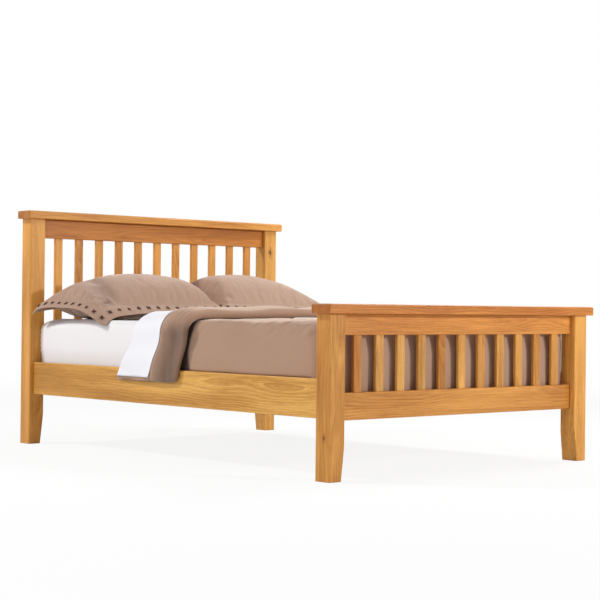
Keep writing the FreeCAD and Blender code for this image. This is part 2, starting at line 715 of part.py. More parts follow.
def build_fasteners():
    """Make the grouped brackets, hangers, bolts with sleeves, screws and dowels."""
    groups = []
    brackets = [build_bracket(f"bracket_{n}", side, end)
                for n, (side, end) in enumerate(corners_of_bed())]
    group = doc.addObject("Part::Compound", "corner_brackets")
    group.Links = brackets
    groups.append(group)
    group = doc.addObject("Part::Compound", "beam_hangers")
    group.Links = [build_hanger("foot_hanger", -1), build_hanger("head_hanger", 1)]
    groups.append(group)

    # each bolt turns into a threaded sleeve that is let into the post
    bolt, sleeve = build_bolt("bolt"), build_sleeve("sleeve")
    bolts = []
    for side, end, x, z in bolt_places():
        bolts.append((bolt, (0, -end, 0), x, f"{end}*(inner_length/2 - steel)", z))
        bolts.append((sleeve, (0, -end, 0), x, f"{end}*inner_length/2", z))
    groups.append(copies("bracket_bolts", bolts))

    short, long = build_screw("screw_short", "short_screw"), build_screw("screw_long", "long_screw")
    screws = []
    for side, end in corners_of_bed():
        for up in (-1, 1):
            screws.append((short, (-side, 0, 0), f"{side}*(side_rail_inner_x - steel)",
                           f"{end}*bracket_screw_y", f"bracket_z + {up}*bolt_spacing/2"))
    for side in (-1, 1):
        for y in ledger_screw_places():
            screws.append((long, (-side, 0, 0), f"{side}*(side_rail_inner_x - ledger_width)", y,
                           "slat_under - ledger_height/2"))
        for end in (-1, 1):
            screws.append((short, (0, -end, 0), f"{side}*hanger_screw_x",
                           f"{end}*(board_inner_y - steel)", "hanger_screw_z"))
    groups.append(copies("wood_screws", screws))

    thick = build_dowel("rail_dowel", "rail_dowel_diameter", "rail_dowel_length")
    peg = build_dowel("cap_dowel", "cap_dowel_diameter", "cap_dowel_length")
    dowels = []
    for side, end in corners_of_bed():
        for up in (-1, 1):
            dowels.append((thick, (0, end, 0), f"{side}*side_rail_x", f"{end}*inner_length/2",
                           f"side_rail_clearance + side_rail_height/2 + {up}*rail_dowel_spacing/2"))
        height = "foot_post_height" if end < 0 else "head_post_height"
        dowels.append((peg, (0, 0, 1), f"{side}*(bed_width/2 - cap_dowel_inset)",
                       f"{end}*post_y", f"{height} + cap_dowel_in_cap - cap_dowel_length/2"))
    groups.append(copies("wood_dowels", dowels))
    return groups


# ---------------------------------------------------------------------------- bedding

def build_mattress(label):
    """Make the mattress, with rounded corners and edges."""
    body = new_body(label, "0", "0", "mattress_low")
    wide, long = "mattress_width/2", "mattress_length/2"
    plan = rectangle(body, f"{label}_plan", "XY_Plane", f"-{wide}", wide, f"-{long}", long)
    pad(body, plan, "mattress_depth", side="One side")
    ease_edges(body, "corners", lambda edge: straight(edge, 2), "mattress_corner")
    top = value("mattress_depth")
    ease_edges(body, "top_edge", lambda edge: spans(edge)[2] < 1e-6
               and abs(middle(edge).z - top) < 1e-6, "mattress_edge")
    ease_edges(body, "low_edge", lambda edge: spans(edge)[2] < 1e-6
               and abs(middle(edge).z) < 1e-6, "mattress_low_edge", "Chamfer")
    return body


def arch(inner, outer, x_inner, x_outer, low):
    """Return the corners and arcs of a layer that lies over the bed and turns down both sides.

    inner and outer are heights above the duvet's top, x_inner and x_outer the places of the
    layer's two faces at the sides, and low is the height of its lower edge there.
    """
    shoulder = "shoulder_z"
    under, over = f"duvet_top + {inner}", f"duvet_top + {outer}"
    corners = [(f"-({x_outer})", low), (f"-({x_inner})", low), (f"-({x_inner})", shoulder),
               ("-shoulder_x", under), ("shoulder_x", under), (x_inner, shoulder),
               (x_inner, low), (x_outer, low), (x_outer, shoulder), ("shoulder_x", over),
               ("-shoulder_x", over), (f"-({x_outer})", shoulder)]
    inner_bow = f"0.2071*((({x_inner}) - shoulder_x)^2 + (({under}) - ({shoulder}))^2)^0.5"
    outer_bow = f"0.2071*((({x_outer}) - shoulder_x)^2 + (({over}) - ({shoulder}))^2)^0.5"
    rises = {2: f"-{inner_bow}", 3: "-duvet_crown", 4: f"-{inner_bow}",
             8: outer_bow, 9: "duvet_crown", 10: outer_bow}
    return corners, rises


def build_duvet(label):
    """Make the duvet: its top with a crown, its tucked sides and its hanging end."""
    body = new_body(label)
    side_y = "-(inner_length/2 - cloth_gap)"
    # the top layer, from the foot to beneath the turned back part
    edge = "duvet_side"
    corner_bow = "0.2071*duvet_shoulder*2^0.5"
    corners = [(f"-{edge}", "shoulder_z"), ("-mattress_width/2 - cloth_gap", "shoulder_z"),
               ("-mattress_width/2 - cloth_gap", "duvet_under"),
               ("mattress_width/2 + cloth_gap", "duvet_under"),
               ("mattress_width/2 + cloth_gap", "shoulder_z"), (edge, "shoulder_z"),
               ("shoulder_x", "duvet_top"), ("-shoulder_x", "duvet_top")]
    rises = {5: corner_bow, 6: "duvet_crown", 7: corner_bow}
    top = outline(body, f"{label}_top", "XZ_Plane", corners, rises,
                  lift=f"-(({side_y}) + duvet_head)/2")
    pad(body, top, f"duvet_head - ({side_y})")
    # a tucked side, down to the rail, whose head end leans
    for name, side in (("left", -1), ("right", 1)):
        tuck = outline(body, f"{label}_{name}", "YZ_Plane",
                       [(side_y, "side_rail_top + cloth_gap"),
                        ("duvet_tuck_low", "side_rail_top + cloth_gap"),
                        ("duvet_tuck_top", "shoulder_z"), (side_y, "shoulder_z")],
                       lift=f"{side}*(duvet_side - duvet_thickness/2)")
        pad(body, tuck, "duvet_thickness")
    # the end that hangs between mattress and footboard, with shallow upright folds
    near, half = "-(mattress_length/2 + cloth_gap)", "duvet_end_width/2"
    far = f"{near} - duvet_thickness + duvet_fold_depth + 1"
    step = f"duvet_end_width/{DUVET_END_FOLDS}"
    front = [(f"-{half} + {step}*{n}", far) for n in range(DUVET_END_FOLDS)]
    hang = outline(body, f"{label}_end", "XY_Plane", front + [(half, far), (half, near),
                                                              (f"-{half}", near)],
                   {n: "duvet_fold_depth" for n in range(DUVET_END_FOLDS)},
                   lift="mattress_low - duvet_end_drop")
    pad(body, hang, "duvet_top - 2 - mattress_low + duvet_end_drop", side="One side")
    return body


def drift(y):
    """Return how far a line at y on the bed leans to the head by the time it hangs lowest."""
    share = f"(({y}) - turn_foot)/(turn_head - turn_foot)"
    return f"(turn_drift_foot + (turn_drift_head - turn_drift_foot)*{share})"


def add_layer(body, tag, inner, outer, x_inner, x_outer, y_foot, y_head):
    """Add a layer of bedding over the bed, from y_foot to y_head, that hangs at both sides."""
    hook = "shoulder_z - 20"
    corners, rises = arch(inner, outer, x_inner, x_outer, hook)
    over = outline(body, f"{body.Name}_{tag}_over", "XZ_Plane", corners, rises,
                   lift=f"-(({y_foot}) + ({y_head}))/2")
    pad(body, over, f"({y_head}) - ({y_foot})")
    for name, side in (("left", -1), ("right", 1)):
        fall = outline(body, f"{body.Name}_{tag}_{name}", "YZ_Plane",
                       [(f"({y_foot}) + {drift(y_foot)}", "turn_low"),
                        (f"({y_head}) + {drift(y_head)}", "turn_low"),
                        (y_head, hook), (y_foot, hook)],
                       lift=f"{side}*(({x_inner}) + ({x_outer}))/2")
        pad(body, fall, f"({x_outer}) - ({x_inner})")


def build_turned_duvet(label):
    """Make the part of the duvet that is folded back and hangs over the rails."""
    body = new_body(label)
    add_layer(body, "fold", "cloth_gap", "turn_thickness", "turn_inner_x",
              "turn_inner_x + turn_thickness", "turn_foot", "turn_head")
    ends = (value("turn_foot"), value("turn_head"))
    outer = value("turn_inner_x + turn_thickness") - 1
    top = value("duvet_top") + 1

    def rim(edge):
        at = middle(edge)
        flat = spans(edge)[1] < 1e-6 and any(abs(at.y - end) < 1e-6 for end in ends)
        return flat and (abs(at.x) > outer or at.z > top + value("turn_thickness")/2)
    ease_edges(body, "rim", rim, "turn_round")
    return body


def build_top_sheet(label):
    """Make the top sheet that wraps the fold and lies back over it to its hem."""
    body = new_body(label)
    wrap = "turn_head + cloth_gap"
    end = "turn_head + cloth_gap + sheet_thickness"
    add_layer(body, "back", "sheet_from", "sheet_to", "turn_inner_x + sheet_from",
              "turn_inner_x + sheet_to", "sheet_hem", end)
    add_layer(body, "nose", "cloth_gap", "sheet_to", "turn_inner_x",
              "turn_inner_x + sheet_to", wrap, end)
    return body


def build_pillow(label, side):
    """Make a pillow: a filled middle with a crown, and a flat border with drawn in sides."""
    body = new_body(label, f"{side}*pillow_x", "pillow_y", "pillow_z")
    body.Placement.Rotation = FreeCAD.Rotation(FreeCAD.Vector(1, 0, 0), 1)
    bind(body, "Placement.Rotation.Angle", "pillow_lean")
    # half depth and height of the filling at stations along the half length
    stations = ((-1.0, 0.90, 0.12), (-0.88, 0.96, 0.50), (-0.66, 1.0, 0.80), (-0.3, 1.0, 0.97),
                (0.3, 1.0, 0.97), (0.66, 1.0, 0.80), (0.88, 0.96, 0.50), (1.0, 0.90, 0.12))
    sections = []
    for number, (along, depth, height) in enumerate(stations):
        half = f"{depth}*pillow_fill_depth/2"
        crown, belly = f"{height}*pillow_crown", f"{height}*pillow_belly"
        rim = [(f"-0.7*{half}", f"-{belly}"), (f"0.7*{half}", f"-{belly}")]
        rim += [(f"{cross}*{half}", f"{up}*{crown}") for cross, up in PILLOW_ARCH]
        sections.append(outline(body, f"{label}_{number}", "YZ_Plane", rim,
                                lift=f"{along}*pillow_fill_length/2"))
    doc.recompute()
    fill = body.newObject("PartDesign::AdditiveLoft", f"{label}_fill")
    fill.Profile = sections[0]
    fill.Sections = sections[1:]
    fill.Ruled = True
    doc.recompute()
    wide, deep = "pillow_length/2", "pillow_depth/2"
    border = outline(body, f"{label}_border", "XY_Plane",
                     [(f"-{wide}", f"-{deep}"), (wide, f"-{deep}"), (wide, deep), (f"-{wide}", deep)],
                     {n: "-pillow_draw" for n in range(4)})
    pad(body, border, "pillow_border_thickness")
    # the belly is pressed flat where it lies on the mattress
    front, rear = [f"(-pillow_seat - ({y})*sin(pillow_lean*1deg))/cos(pillow_lean*1deg)"
                   for y in (f"-{deep}", deep)]
    seat = outline(body, f"{label}_seat", "YZ_Plane",
                   [(f"-{deep}", "-2*pillow_belly"), (deep, "-2*pillow_belly"), (deep, rear),
                    (f"-{deep}", front)])
    pocket(body, seat, "2*pillow_length")
    return body


# ---------------------------------------------------------------------------- the whole bed

def build_bed():
    """Make every sub-part and return them in order."""
    parts = []
    boards = ((-1, "foot", "foot_post_height", "foot_top_rail_height"),
              (1, "head", "head_post_height", "head_top_rail_height"))
    for end, name, height, top_height in boards:
        for side, hand in ((-1, "left"), (1, "right")):
            parts.append(build_post(f"{name}_post_{hand}", side, end, height))
        parts.append(build_cap(f"{name}board_cap", end, height))
        top_low = f"{height} - {top_height}"
        parts.append(build_cross_rail(f"{name}board_top_rail", end, top_height, top_low, -1))
        parts.append(build_cross_rail(f"{name}board_bottom_rail", end, "bottom_rail_height",
                                      "bottom_rail_clearance", 1))
        for index in range(SPINDLES):
            parts.append(build_spindle(f"{name}board_slat_{index + 1:02d}", index, end,
                                       "bottom_rail_top", top_low))
    for side, hand in ((-1, "left"), (1, "right")):
        parts.append(build_side_rail(f"side_rail_{hand}", side))
        parts.append(build_ledger(f"ledger_{hand}", side))
    parts.append(build_centre_beam("centre_beam"))
    parts.extend(build_base_slat(f"base_slat_{index + 1:02d}", index)
                 for index in range(BASE_SLATS))
    parts.extend(build_fasteners())
    parts.append(build_mattress("mattress"))
    parts.append(build_duvet("duvet"))
    parts.append(build_turned_duvet("duvet_turned_back"))
    parts.append(build_top_sheet("top_sheet"))
    parts.append(build_pillow("pillow_left", -1))
    parts.append(build_pillow("pillow_right", 1))
    return parts


def check_and_write(parts):
    """Stop on any failed object or bad shape, then write one file for each sub-part."""
    doc.recompute()
    failed = [item.Name for item in doc.Objects
              if "Invalid" in item.State or "Error" in item.State]
    if failed:
        raise RuntimeError("failed objects: " + ", ".join(failed))
    for part in parts:
        if part.Shape.isNull() or not part.Shape.isValid() or not part.Shape.Solids:
            raise RuntimeError("bad shape: " + part.Label)
    os.makedirs("parts", exist_ok=True)
    for part in parts:
        part.Shape.exportStep(f"parts/{part.Label}.step")
        box = part.Shape.BoundBox
        print(f"{part.Label}: {len(part.Shape.Solids)} solid(s), {part.Shape.Volume/1e6:.3f} l, "
              f"X {box.XMin:.1f}..{box.XMax:.1f} Y {box.YMin:.1f}..{box.YMax:.1f} "
              f"Z {box.ZMin:.1f}..{box.ZMax:.1f}")


check_and_write(build_bed())
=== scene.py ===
"""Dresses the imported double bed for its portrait.

The oak boards, pine slats and steel fittings of the frame keep their solids and get their
finishes here. The soft pieces are made anew in the places of their solids: a fitted mattress, a
tucked duvet, the duvet's turned back end with a top sheet folded over it, and two pillows with a
cross stitched border. All lengths are metres in the bed's own frame.
"""

from __future__ import annotations

import itertools
import json
import logging
import math
from dataclasses import dataclass
from enum import Enum
from functools import cached_property
from typing import Callable, Iterable, Sequence

import bmesh
import bpy
import numpy as np
from mathutils import Euler, Matrix, Vector

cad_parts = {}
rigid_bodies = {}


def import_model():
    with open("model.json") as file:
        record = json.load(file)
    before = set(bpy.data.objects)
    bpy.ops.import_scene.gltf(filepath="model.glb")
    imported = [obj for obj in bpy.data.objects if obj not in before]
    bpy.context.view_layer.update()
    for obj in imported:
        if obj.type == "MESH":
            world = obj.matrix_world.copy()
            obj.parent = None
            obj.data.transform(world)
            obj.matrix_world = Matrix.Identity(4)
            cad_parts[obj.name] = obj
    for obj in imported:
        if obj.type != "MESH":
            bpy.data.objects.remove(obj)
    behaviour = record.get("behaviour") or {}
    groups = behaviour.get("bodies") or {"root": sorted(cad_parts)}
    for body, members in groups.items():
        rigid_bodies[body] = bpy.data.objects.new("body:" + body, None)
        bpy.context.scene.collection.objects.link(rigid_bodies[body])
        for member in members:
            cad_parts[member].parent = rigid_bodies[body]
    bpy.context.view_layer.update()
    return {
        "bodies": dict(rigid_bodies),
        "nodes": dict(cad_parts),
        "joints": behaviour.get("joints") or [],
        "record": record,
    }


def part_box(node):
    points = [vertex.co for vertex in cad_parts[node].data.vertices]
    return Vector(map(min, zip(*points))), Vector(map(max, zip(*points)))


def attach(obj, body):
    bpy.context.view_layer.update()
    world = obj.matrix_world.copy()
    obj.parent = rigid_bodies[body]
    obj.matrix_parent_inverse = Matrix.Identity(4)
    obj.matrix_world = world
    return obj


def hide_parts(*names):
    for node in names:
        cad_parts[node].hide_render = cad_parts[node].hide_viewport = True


log = logging.getLogger("bed")

ROOT = "root"
Array, Material, Object = np.ndarray, bpy.types.Material, bpy.types.Object
Node, NodeTree, Socket = bpy.types.Node, bpy.types.NodeTree, bpy.types.NodeSocket
Colour = Place = tuple[float, float, float]


# ---- small helpers


def ease(value: Array | float, low: float, high: float) -> Array | float:
    """Rise smoothly from 0 at low to 1 at high.

    Args:
        value: Number or array that is looked up.
        low: Where the rise begins.
        high: Where it ends.

    Returns:
        Numbers from 0 to 1.
    """
    share = np.clip((value - low) / (high - low), 0.0, 1.0)
    return share * share * (3.0 - 2.0 * share)


def soft_noise(points: Array, size: float | Sequence[float], seed: int) -> Array:
    """Return smooth noise from -1 to 1 that is the same on every run.

    Args:
        points: Array of points, its last axis x, y, z.
        size: Length of a lattice cell, one for all axes or one each.
        seed: Whole number that picks another pattern.

    Returns:
        One number for each point.
    """
    place = points / np.asarray(size, float) + seed * 17.31
    cell = np.floor(place).astype(np.int64)
    part = place - cell
    part = part * part * (3.0 - 2.0 * part)
    total = np.zeros(points.shape[:-1])
    for corner in itertools.product((0, 1), repeat=3):
        key = cell + np.array(corner)
        mixed = key[..., 0] * 73856093 ^ key[..., 1] * 19349663 ^ key[..., 2] * 83492791
        mixed = (mixed ^ seed * 2654435761) & 0xFFFFFFFF
        mixed = ((mixed ^ (mixed >> 13)) * 1274126177) & 0xFFFFFFFF
        mixed = (mixed ^ (mixed >> 16)) & 0xFFFF
        weight = np.prod(np.where(np.array(corner), part, 1.0 - part), axis=-1)
        total += weight * (mixed / 32767.5 - 1.0)
    return total


@dataclass
class Panel:
    """A grid of cloth points with its flat coordinates.

    Attributes:
        points: Rows by columns by 3, in metres.
        flat: Rows by columns by 2, where each point lies on the flat cloth, in metres.
    """

    points: Array
    flat: Array

    def normals(self, outwards: Callable[[Array], Array]) -> Array:
        """Return a unit normal at each point.

        Args:
            outwards: Gives for each point a direction that its normal should agree with.

        Returns:
            Rows by columns by 3.
        """
        normal = np.cross(np.gradient(self.points, axis=0), np.gradient(self.points, axis=1))
        normal /= np.maximum(np.linalg.norm(normal, axis=-1, keepdims=True), 1e-12)
        agree = np.sum(normal * outwards(self.points), axis=-1, keepdims=True)
        return normal * np.where(agree < 0.0, -1.0, 1.0)

    @property
    def cells(self) -> Array:
        """Give each grid cell as four point numbers."""
        rows, columns = self.points.shape[:2]
        number = np.arange(rows * columns).reshape(rows, columns)
        return np.stack(
            (number[:-1, :-1], number[1:, :-1], number[1:, 1:], number[:-1, 1:]), axis=-1
        ).reshape(-1, 4)


def lengths(points: Array, axis: int) -> Array:
    """Add up the distances between neighbours along one axis of a grid of points.

    Args:
        points: Rows by columns by 3.
        axis: 0 to go from row to row, 1 to go along each row.

    Returns:
        Rows by columns, 0 at the start of each run.
    """
    steps = np.linalg.norm(np.diff(points, axis=axis), axis=-1)
    start = np.zeros_like(np.take(steps, [0], axis=axis))
    return np.concatenate((start, np.cumsum(steps, axis=axis)), axis=axis)


def laid_flat(points: Array, row: int, down: Array) -> Array:
    """Give a grid of points its place on the flat cloth.

    Args:
        points: Rows by columns by 3.
        row: Number of the row whose run gives the first coordinate.
        down: Second coordinate of each row.

    Returns:
        Rows by columns by 2.
    """
    return np.stack(np.broadcast_arrays(lengths(points, 1)[row], down[:, None]), axis=-1)


def bridge(first: Array, second: Array, steps: int, plane: slice) -> Panel:
    """Fill the gap between two lines of as many points.

    Args:
        first: Points of one line.
        second: Points of the other, in the same order.
        steps: Points from one line to the other.
        plane: The two axes that its flat coordinates are read on.

    Returns:
        The panel between them.
    """
    share = np.linspace(0.0, 1.0, steps)[None, :, None]
    points = first[:, None] * (1 - share) + second[:, None] * share
    return Panel(points, points[..., plane].copy())


def sew(name: str, panels: Iterable[Panel], material: Material,
        painted_shade: Callable[[Array], Array] | None = None) -> Object:
    """Join panels at their shared points into one closed body.

    Args:
        name: Name of the piece.
        panels: Grids whose edges meet.
        material: The cloth.
        painted_shade: Turns points by 3 into the painted shade, one number from 0 to 1 each, which
            the cloth darkens by.

    Returns:
        The new object, at the origin, with a UV map named Cloth in metres.
    """
    corners, faces, flats, count = [], [], [], 0
    for panel in panels:
        corners.append(panel.points.reshape(-1, 3))
        faces.append(panel.cells + count)
        flats.append(panel.flat.reshape(-1, 2))
        count += len(corners[-1])
    mesh = bpy.data.meshes.new(name)
    face_rows = np.concatenate(faces)
    mesh.from_pydata(np.concatenate(corners).tolist(), [], face_rows.tolist())
    layer = mesh.uv_layers.new(name="Cloth")
    layer.data.foreach_set("uv", np.concatenate(flats)[face_rows.reshape(-1)].ravel())
    work = bmesh.new()
    work.from_mesh(mesh)
    bmesh.ops.remove_doubles(work, verts=work.verts, dist=2e-5)
    bmesh.ops.dissolve_degenerate(work, edges=work.edges, dist=1e-6)
    bmesh.ops.recalc_face_normals(work, faces=work.faces)
    work.to_mesh(mesh)
    work.free()
    mesh.shade_smooth()
    mesh.materials.append(material)
    # painted shade, kept on each point for the cloth's material
    if painted_shade is not None:
        mark = mesh.attributes.new("painted_shade", "FLOAT", "POINT")
        mark.data.foreach_set("value", painted_shade(places_of(mesh)))
    return put(name, mesh)


def put(name: str, data: bpy.types.ID) -> Object:
    """Put a mesh, light or camera into the scene as an object of that name."""
    made = bpy.data.objects.new(name, data)
    bpy.context.scene.collection.objects.link(made)
    return made


def places_of(mesh: bpy.types.Mesh) -> Array:
    """Read the places of a mesh's points, points by 3."""
    places = np.zeros(len(mesh.vertices) * 3)
    mesh.vertices.foreach_get("co", places)
    return places.reshape(-1, 3)


def plain_mesh(piece: Object) -> None:
    """Replace an object's live modifiers by their result.

    Args:
        piece: The object, changed in place.
    """
    graph = bpy.context.evaluated_depsgraph_get()
    made = bpy.data.meshes.new_from_object(piece.evaluated_get(graph))
    piece.modifiers.clear()
    old, piece.data = piece.data, made
    name = old.name
    bpy.data.meshes.remove(old)
    made.name = name


# ---- node wiring

Feed = "Socket | float | str | Sequence[float] | None"
Feeds = dict[int | str, object]


class Wiring:
    """Places nodes in one tree and joins them."""

    def __init__(self, tree: NodeTree) -> None:
        """Work on the given tree."""
        self.tree = tree

    def feed(self, socket: Socket, value: Feed) -> None:
        """Join a socket to another, or set its value.

        Args:
            socket: The socket.
            value: Another socket, a value, or None, which leaves it alone.
        """
        if isinstance(value, Socket):
            self.tree.links.new(value, socket)
        elif value is not None:
            if socket.type == "RGBA" and len(value) == 3:
                value = (*value, 1.0)
            socket.default_value = value

    def fill(self, node: Node, feeds: Feeds) -> None:
        """Feed a node's inputs, each by its name or number."""
        for key, value in feeds.items():
            self.feed(node.inputs[key], value)

    def node(self, kind: str, feeds: Feeds | None = None, **values: object) -> Node:
        """Place a node.

        Args:
            kind: The node's type name.
            feeds: What goes into its inputs, by their names or numbers.
            **values: Properties of the node and what they are set to.

        Returns:
            The new node.
        """
        made = self.tree.nodes.new(kind)
        for name, value in values.items():
            setattr(made, name, value)
        self.fill(made, feeds or {})
        return made

    def math(self, operation: str, first: Feed, second: Feed = None,
             clamp: bool = False) -> Socket:
        """Work on one or two numbers.

        Args:
            operation: Name of the sum.
            first: First number or socket.
            second: Second one, where the sum has it.
            clamp: Whether the result is kept from 0 to 1.

        Returns:
            The result's socket.
        """
        made = self.node("ShaderNodeMath", {0: first, 1: second}, operation=operation,
                         use_clamp=clamp)
        return made.outputs[0]

    def times(self, first: Feed, second: Feed) -> Socket:
        """Multiply two numbers."""
        return self.math("MULTIPLY", first, second)

    def plus(self, first: Feed, second: Feed, clamp: bool = False) -> Socket:
        """Add two numbers, and keep the sum from 0 to 1 where that is asked."""
        return self.math("ADD", first, second, clamp)

    def less(self, first: Feed, second: Feed, clamp: bool = False) -> Socket:
        """Take the second number off the first, and keep the rest from 0 to 1 if asked."""
        return self.math("SUBTRACT", first, second, clamp)

    def vector(self, operation: str, first: Feed, second: Feed = None,
               scale: Feed = None) -> Socket:
        """Work on vectors.

        Args:
            operation: Name of the sum.
            first: First vector.
            second: Second one, where the sum has it.
            scale: Factor for SCALE.

        Returns:
            The result's socket, a number for LENGTH.
        """
        made = self.node("ShaderNodeVectorMath", {0: first, 1: second, 3: scale},
                         operation=operation)
        return made.outputs["Value" if operation == "LENGTH" else "Vector"]

    def noise(self, place: Feed, scale: float = 1.0, detail: float = 2.0,
              roughness: float = 0.5) -> Socket:
        """Return a noise of about 0.5, read at a place."""
        return self.node("ShaderNodeTexNoise", {"Vector": place, "Scale": scale, "Detail": detail,
                                                "Roughness": roughness}).outputs[0]

    def rise(self, value: Feed, low: Feed, high: Feed, start: Feed = 0.0,
             end: Feed = 1.0) -> Socket:
        """Rise smoothly from start to end while the value goes from low to high."""
        return self.node("ShaderNodeMapRange", {0: value, 1: low, 2: high, 3: start, 4: end},
                         interpolation_type="SMOOTHSTEP").outputs[0]

    def blend(self, share: Feed, first: Feed, second: Feed,
              mode: str = "MIX") -> Socket:
        """Mix two colours.

        Args:
            share: How much of the second colour, from 0 to 1.
            first: First colour.
            second: Second colour.
            mode: Name of the way of mixing.

        Returns:
            The mixed colour's socket.
        """
        return self.node("ShaderNodeMix", {0: share, 6: first, 7: second}, data_type="RGBA",
                         blend_type=mode).outputs[2]

    def bump(self, height: Feed, distance: float, strength: float) -> Socket:
        """Turn a height, which at 1 stands out by a distance in metres, into a normal."""
        return self.node("ShaderNodeBump", {"Height": height, "Distance": distance,
                                            "Strength": strength}).outputs[0]

    def parts(self, vector: Feed) -> tuple[Socket, ...]:
        """Split a vector into its x, y and z sockets."""
        return tuple(self.node("ShaderNodeSeparateXYZ", {0: vector}).outputs)

    def joined(self, x: Feed = 0.0, y: Feed = 0.0, z: Feed = 0.0) -> Socket:
        """Join three numbers into a vector."""
        return self.node("ShaderNodeCombineXYZ", {0: x, 1: y, 2: z}).outputs[0]


class SocketKind(Enum):
    """The kinds of value that a group takes in or puts out."""

    NUMBER = "NodeSocketFloat"
    VECTOR = "NodeSocketVector"
    COLOUR = "NodeSocketColor"
    WHOLE = "NodeSocketInt"
    SHAPE = "NodeSocketGeometry"
    FINISH = "NodeSocketMaterial"


# what every shared effect puts out
SURFACE = {"Colour": SocketKind.COLOUR, "Roughness": SocketKind.NUMBER,
           "Height": SocketKind.NUMBER}


def new_group(name: str, kind: str, takes: dict[SocketKind, str], gives: dict[str, SocketKind],
              ) -> tuple[Wiring, bpy.types.bpy_prop_collection, Node]:
    """Start a node group with named inputs and outputs.

    Args:
        name: The group's name.
        kind: The tree's type name.
        takes: The inputs' names by their kind, with commas between them.
        gives: Kind of each output.

    Returns:
        The wiring of the new tree, what it takes, by name, and the node that it ends in.
    """
    tree = bpy.data.node_groups.new(name, kind)
    for socket_kind, labels in takes.items():
        for label in labels.split(", "):
            tree.interface.new_socket(name=label, in_out="INPUT", socket_type=socket_kind.value)
    for label, socket_kind in gives.items():
        tree.interface.new_socket(name=label, in_out="OUTPUT", socket_type=socket_kind.value)
    wiring = Wiring(tree)
    return wiring, wiring.node("NodeGroupInput").outputs, wiring.node("NodeGroupOutput")


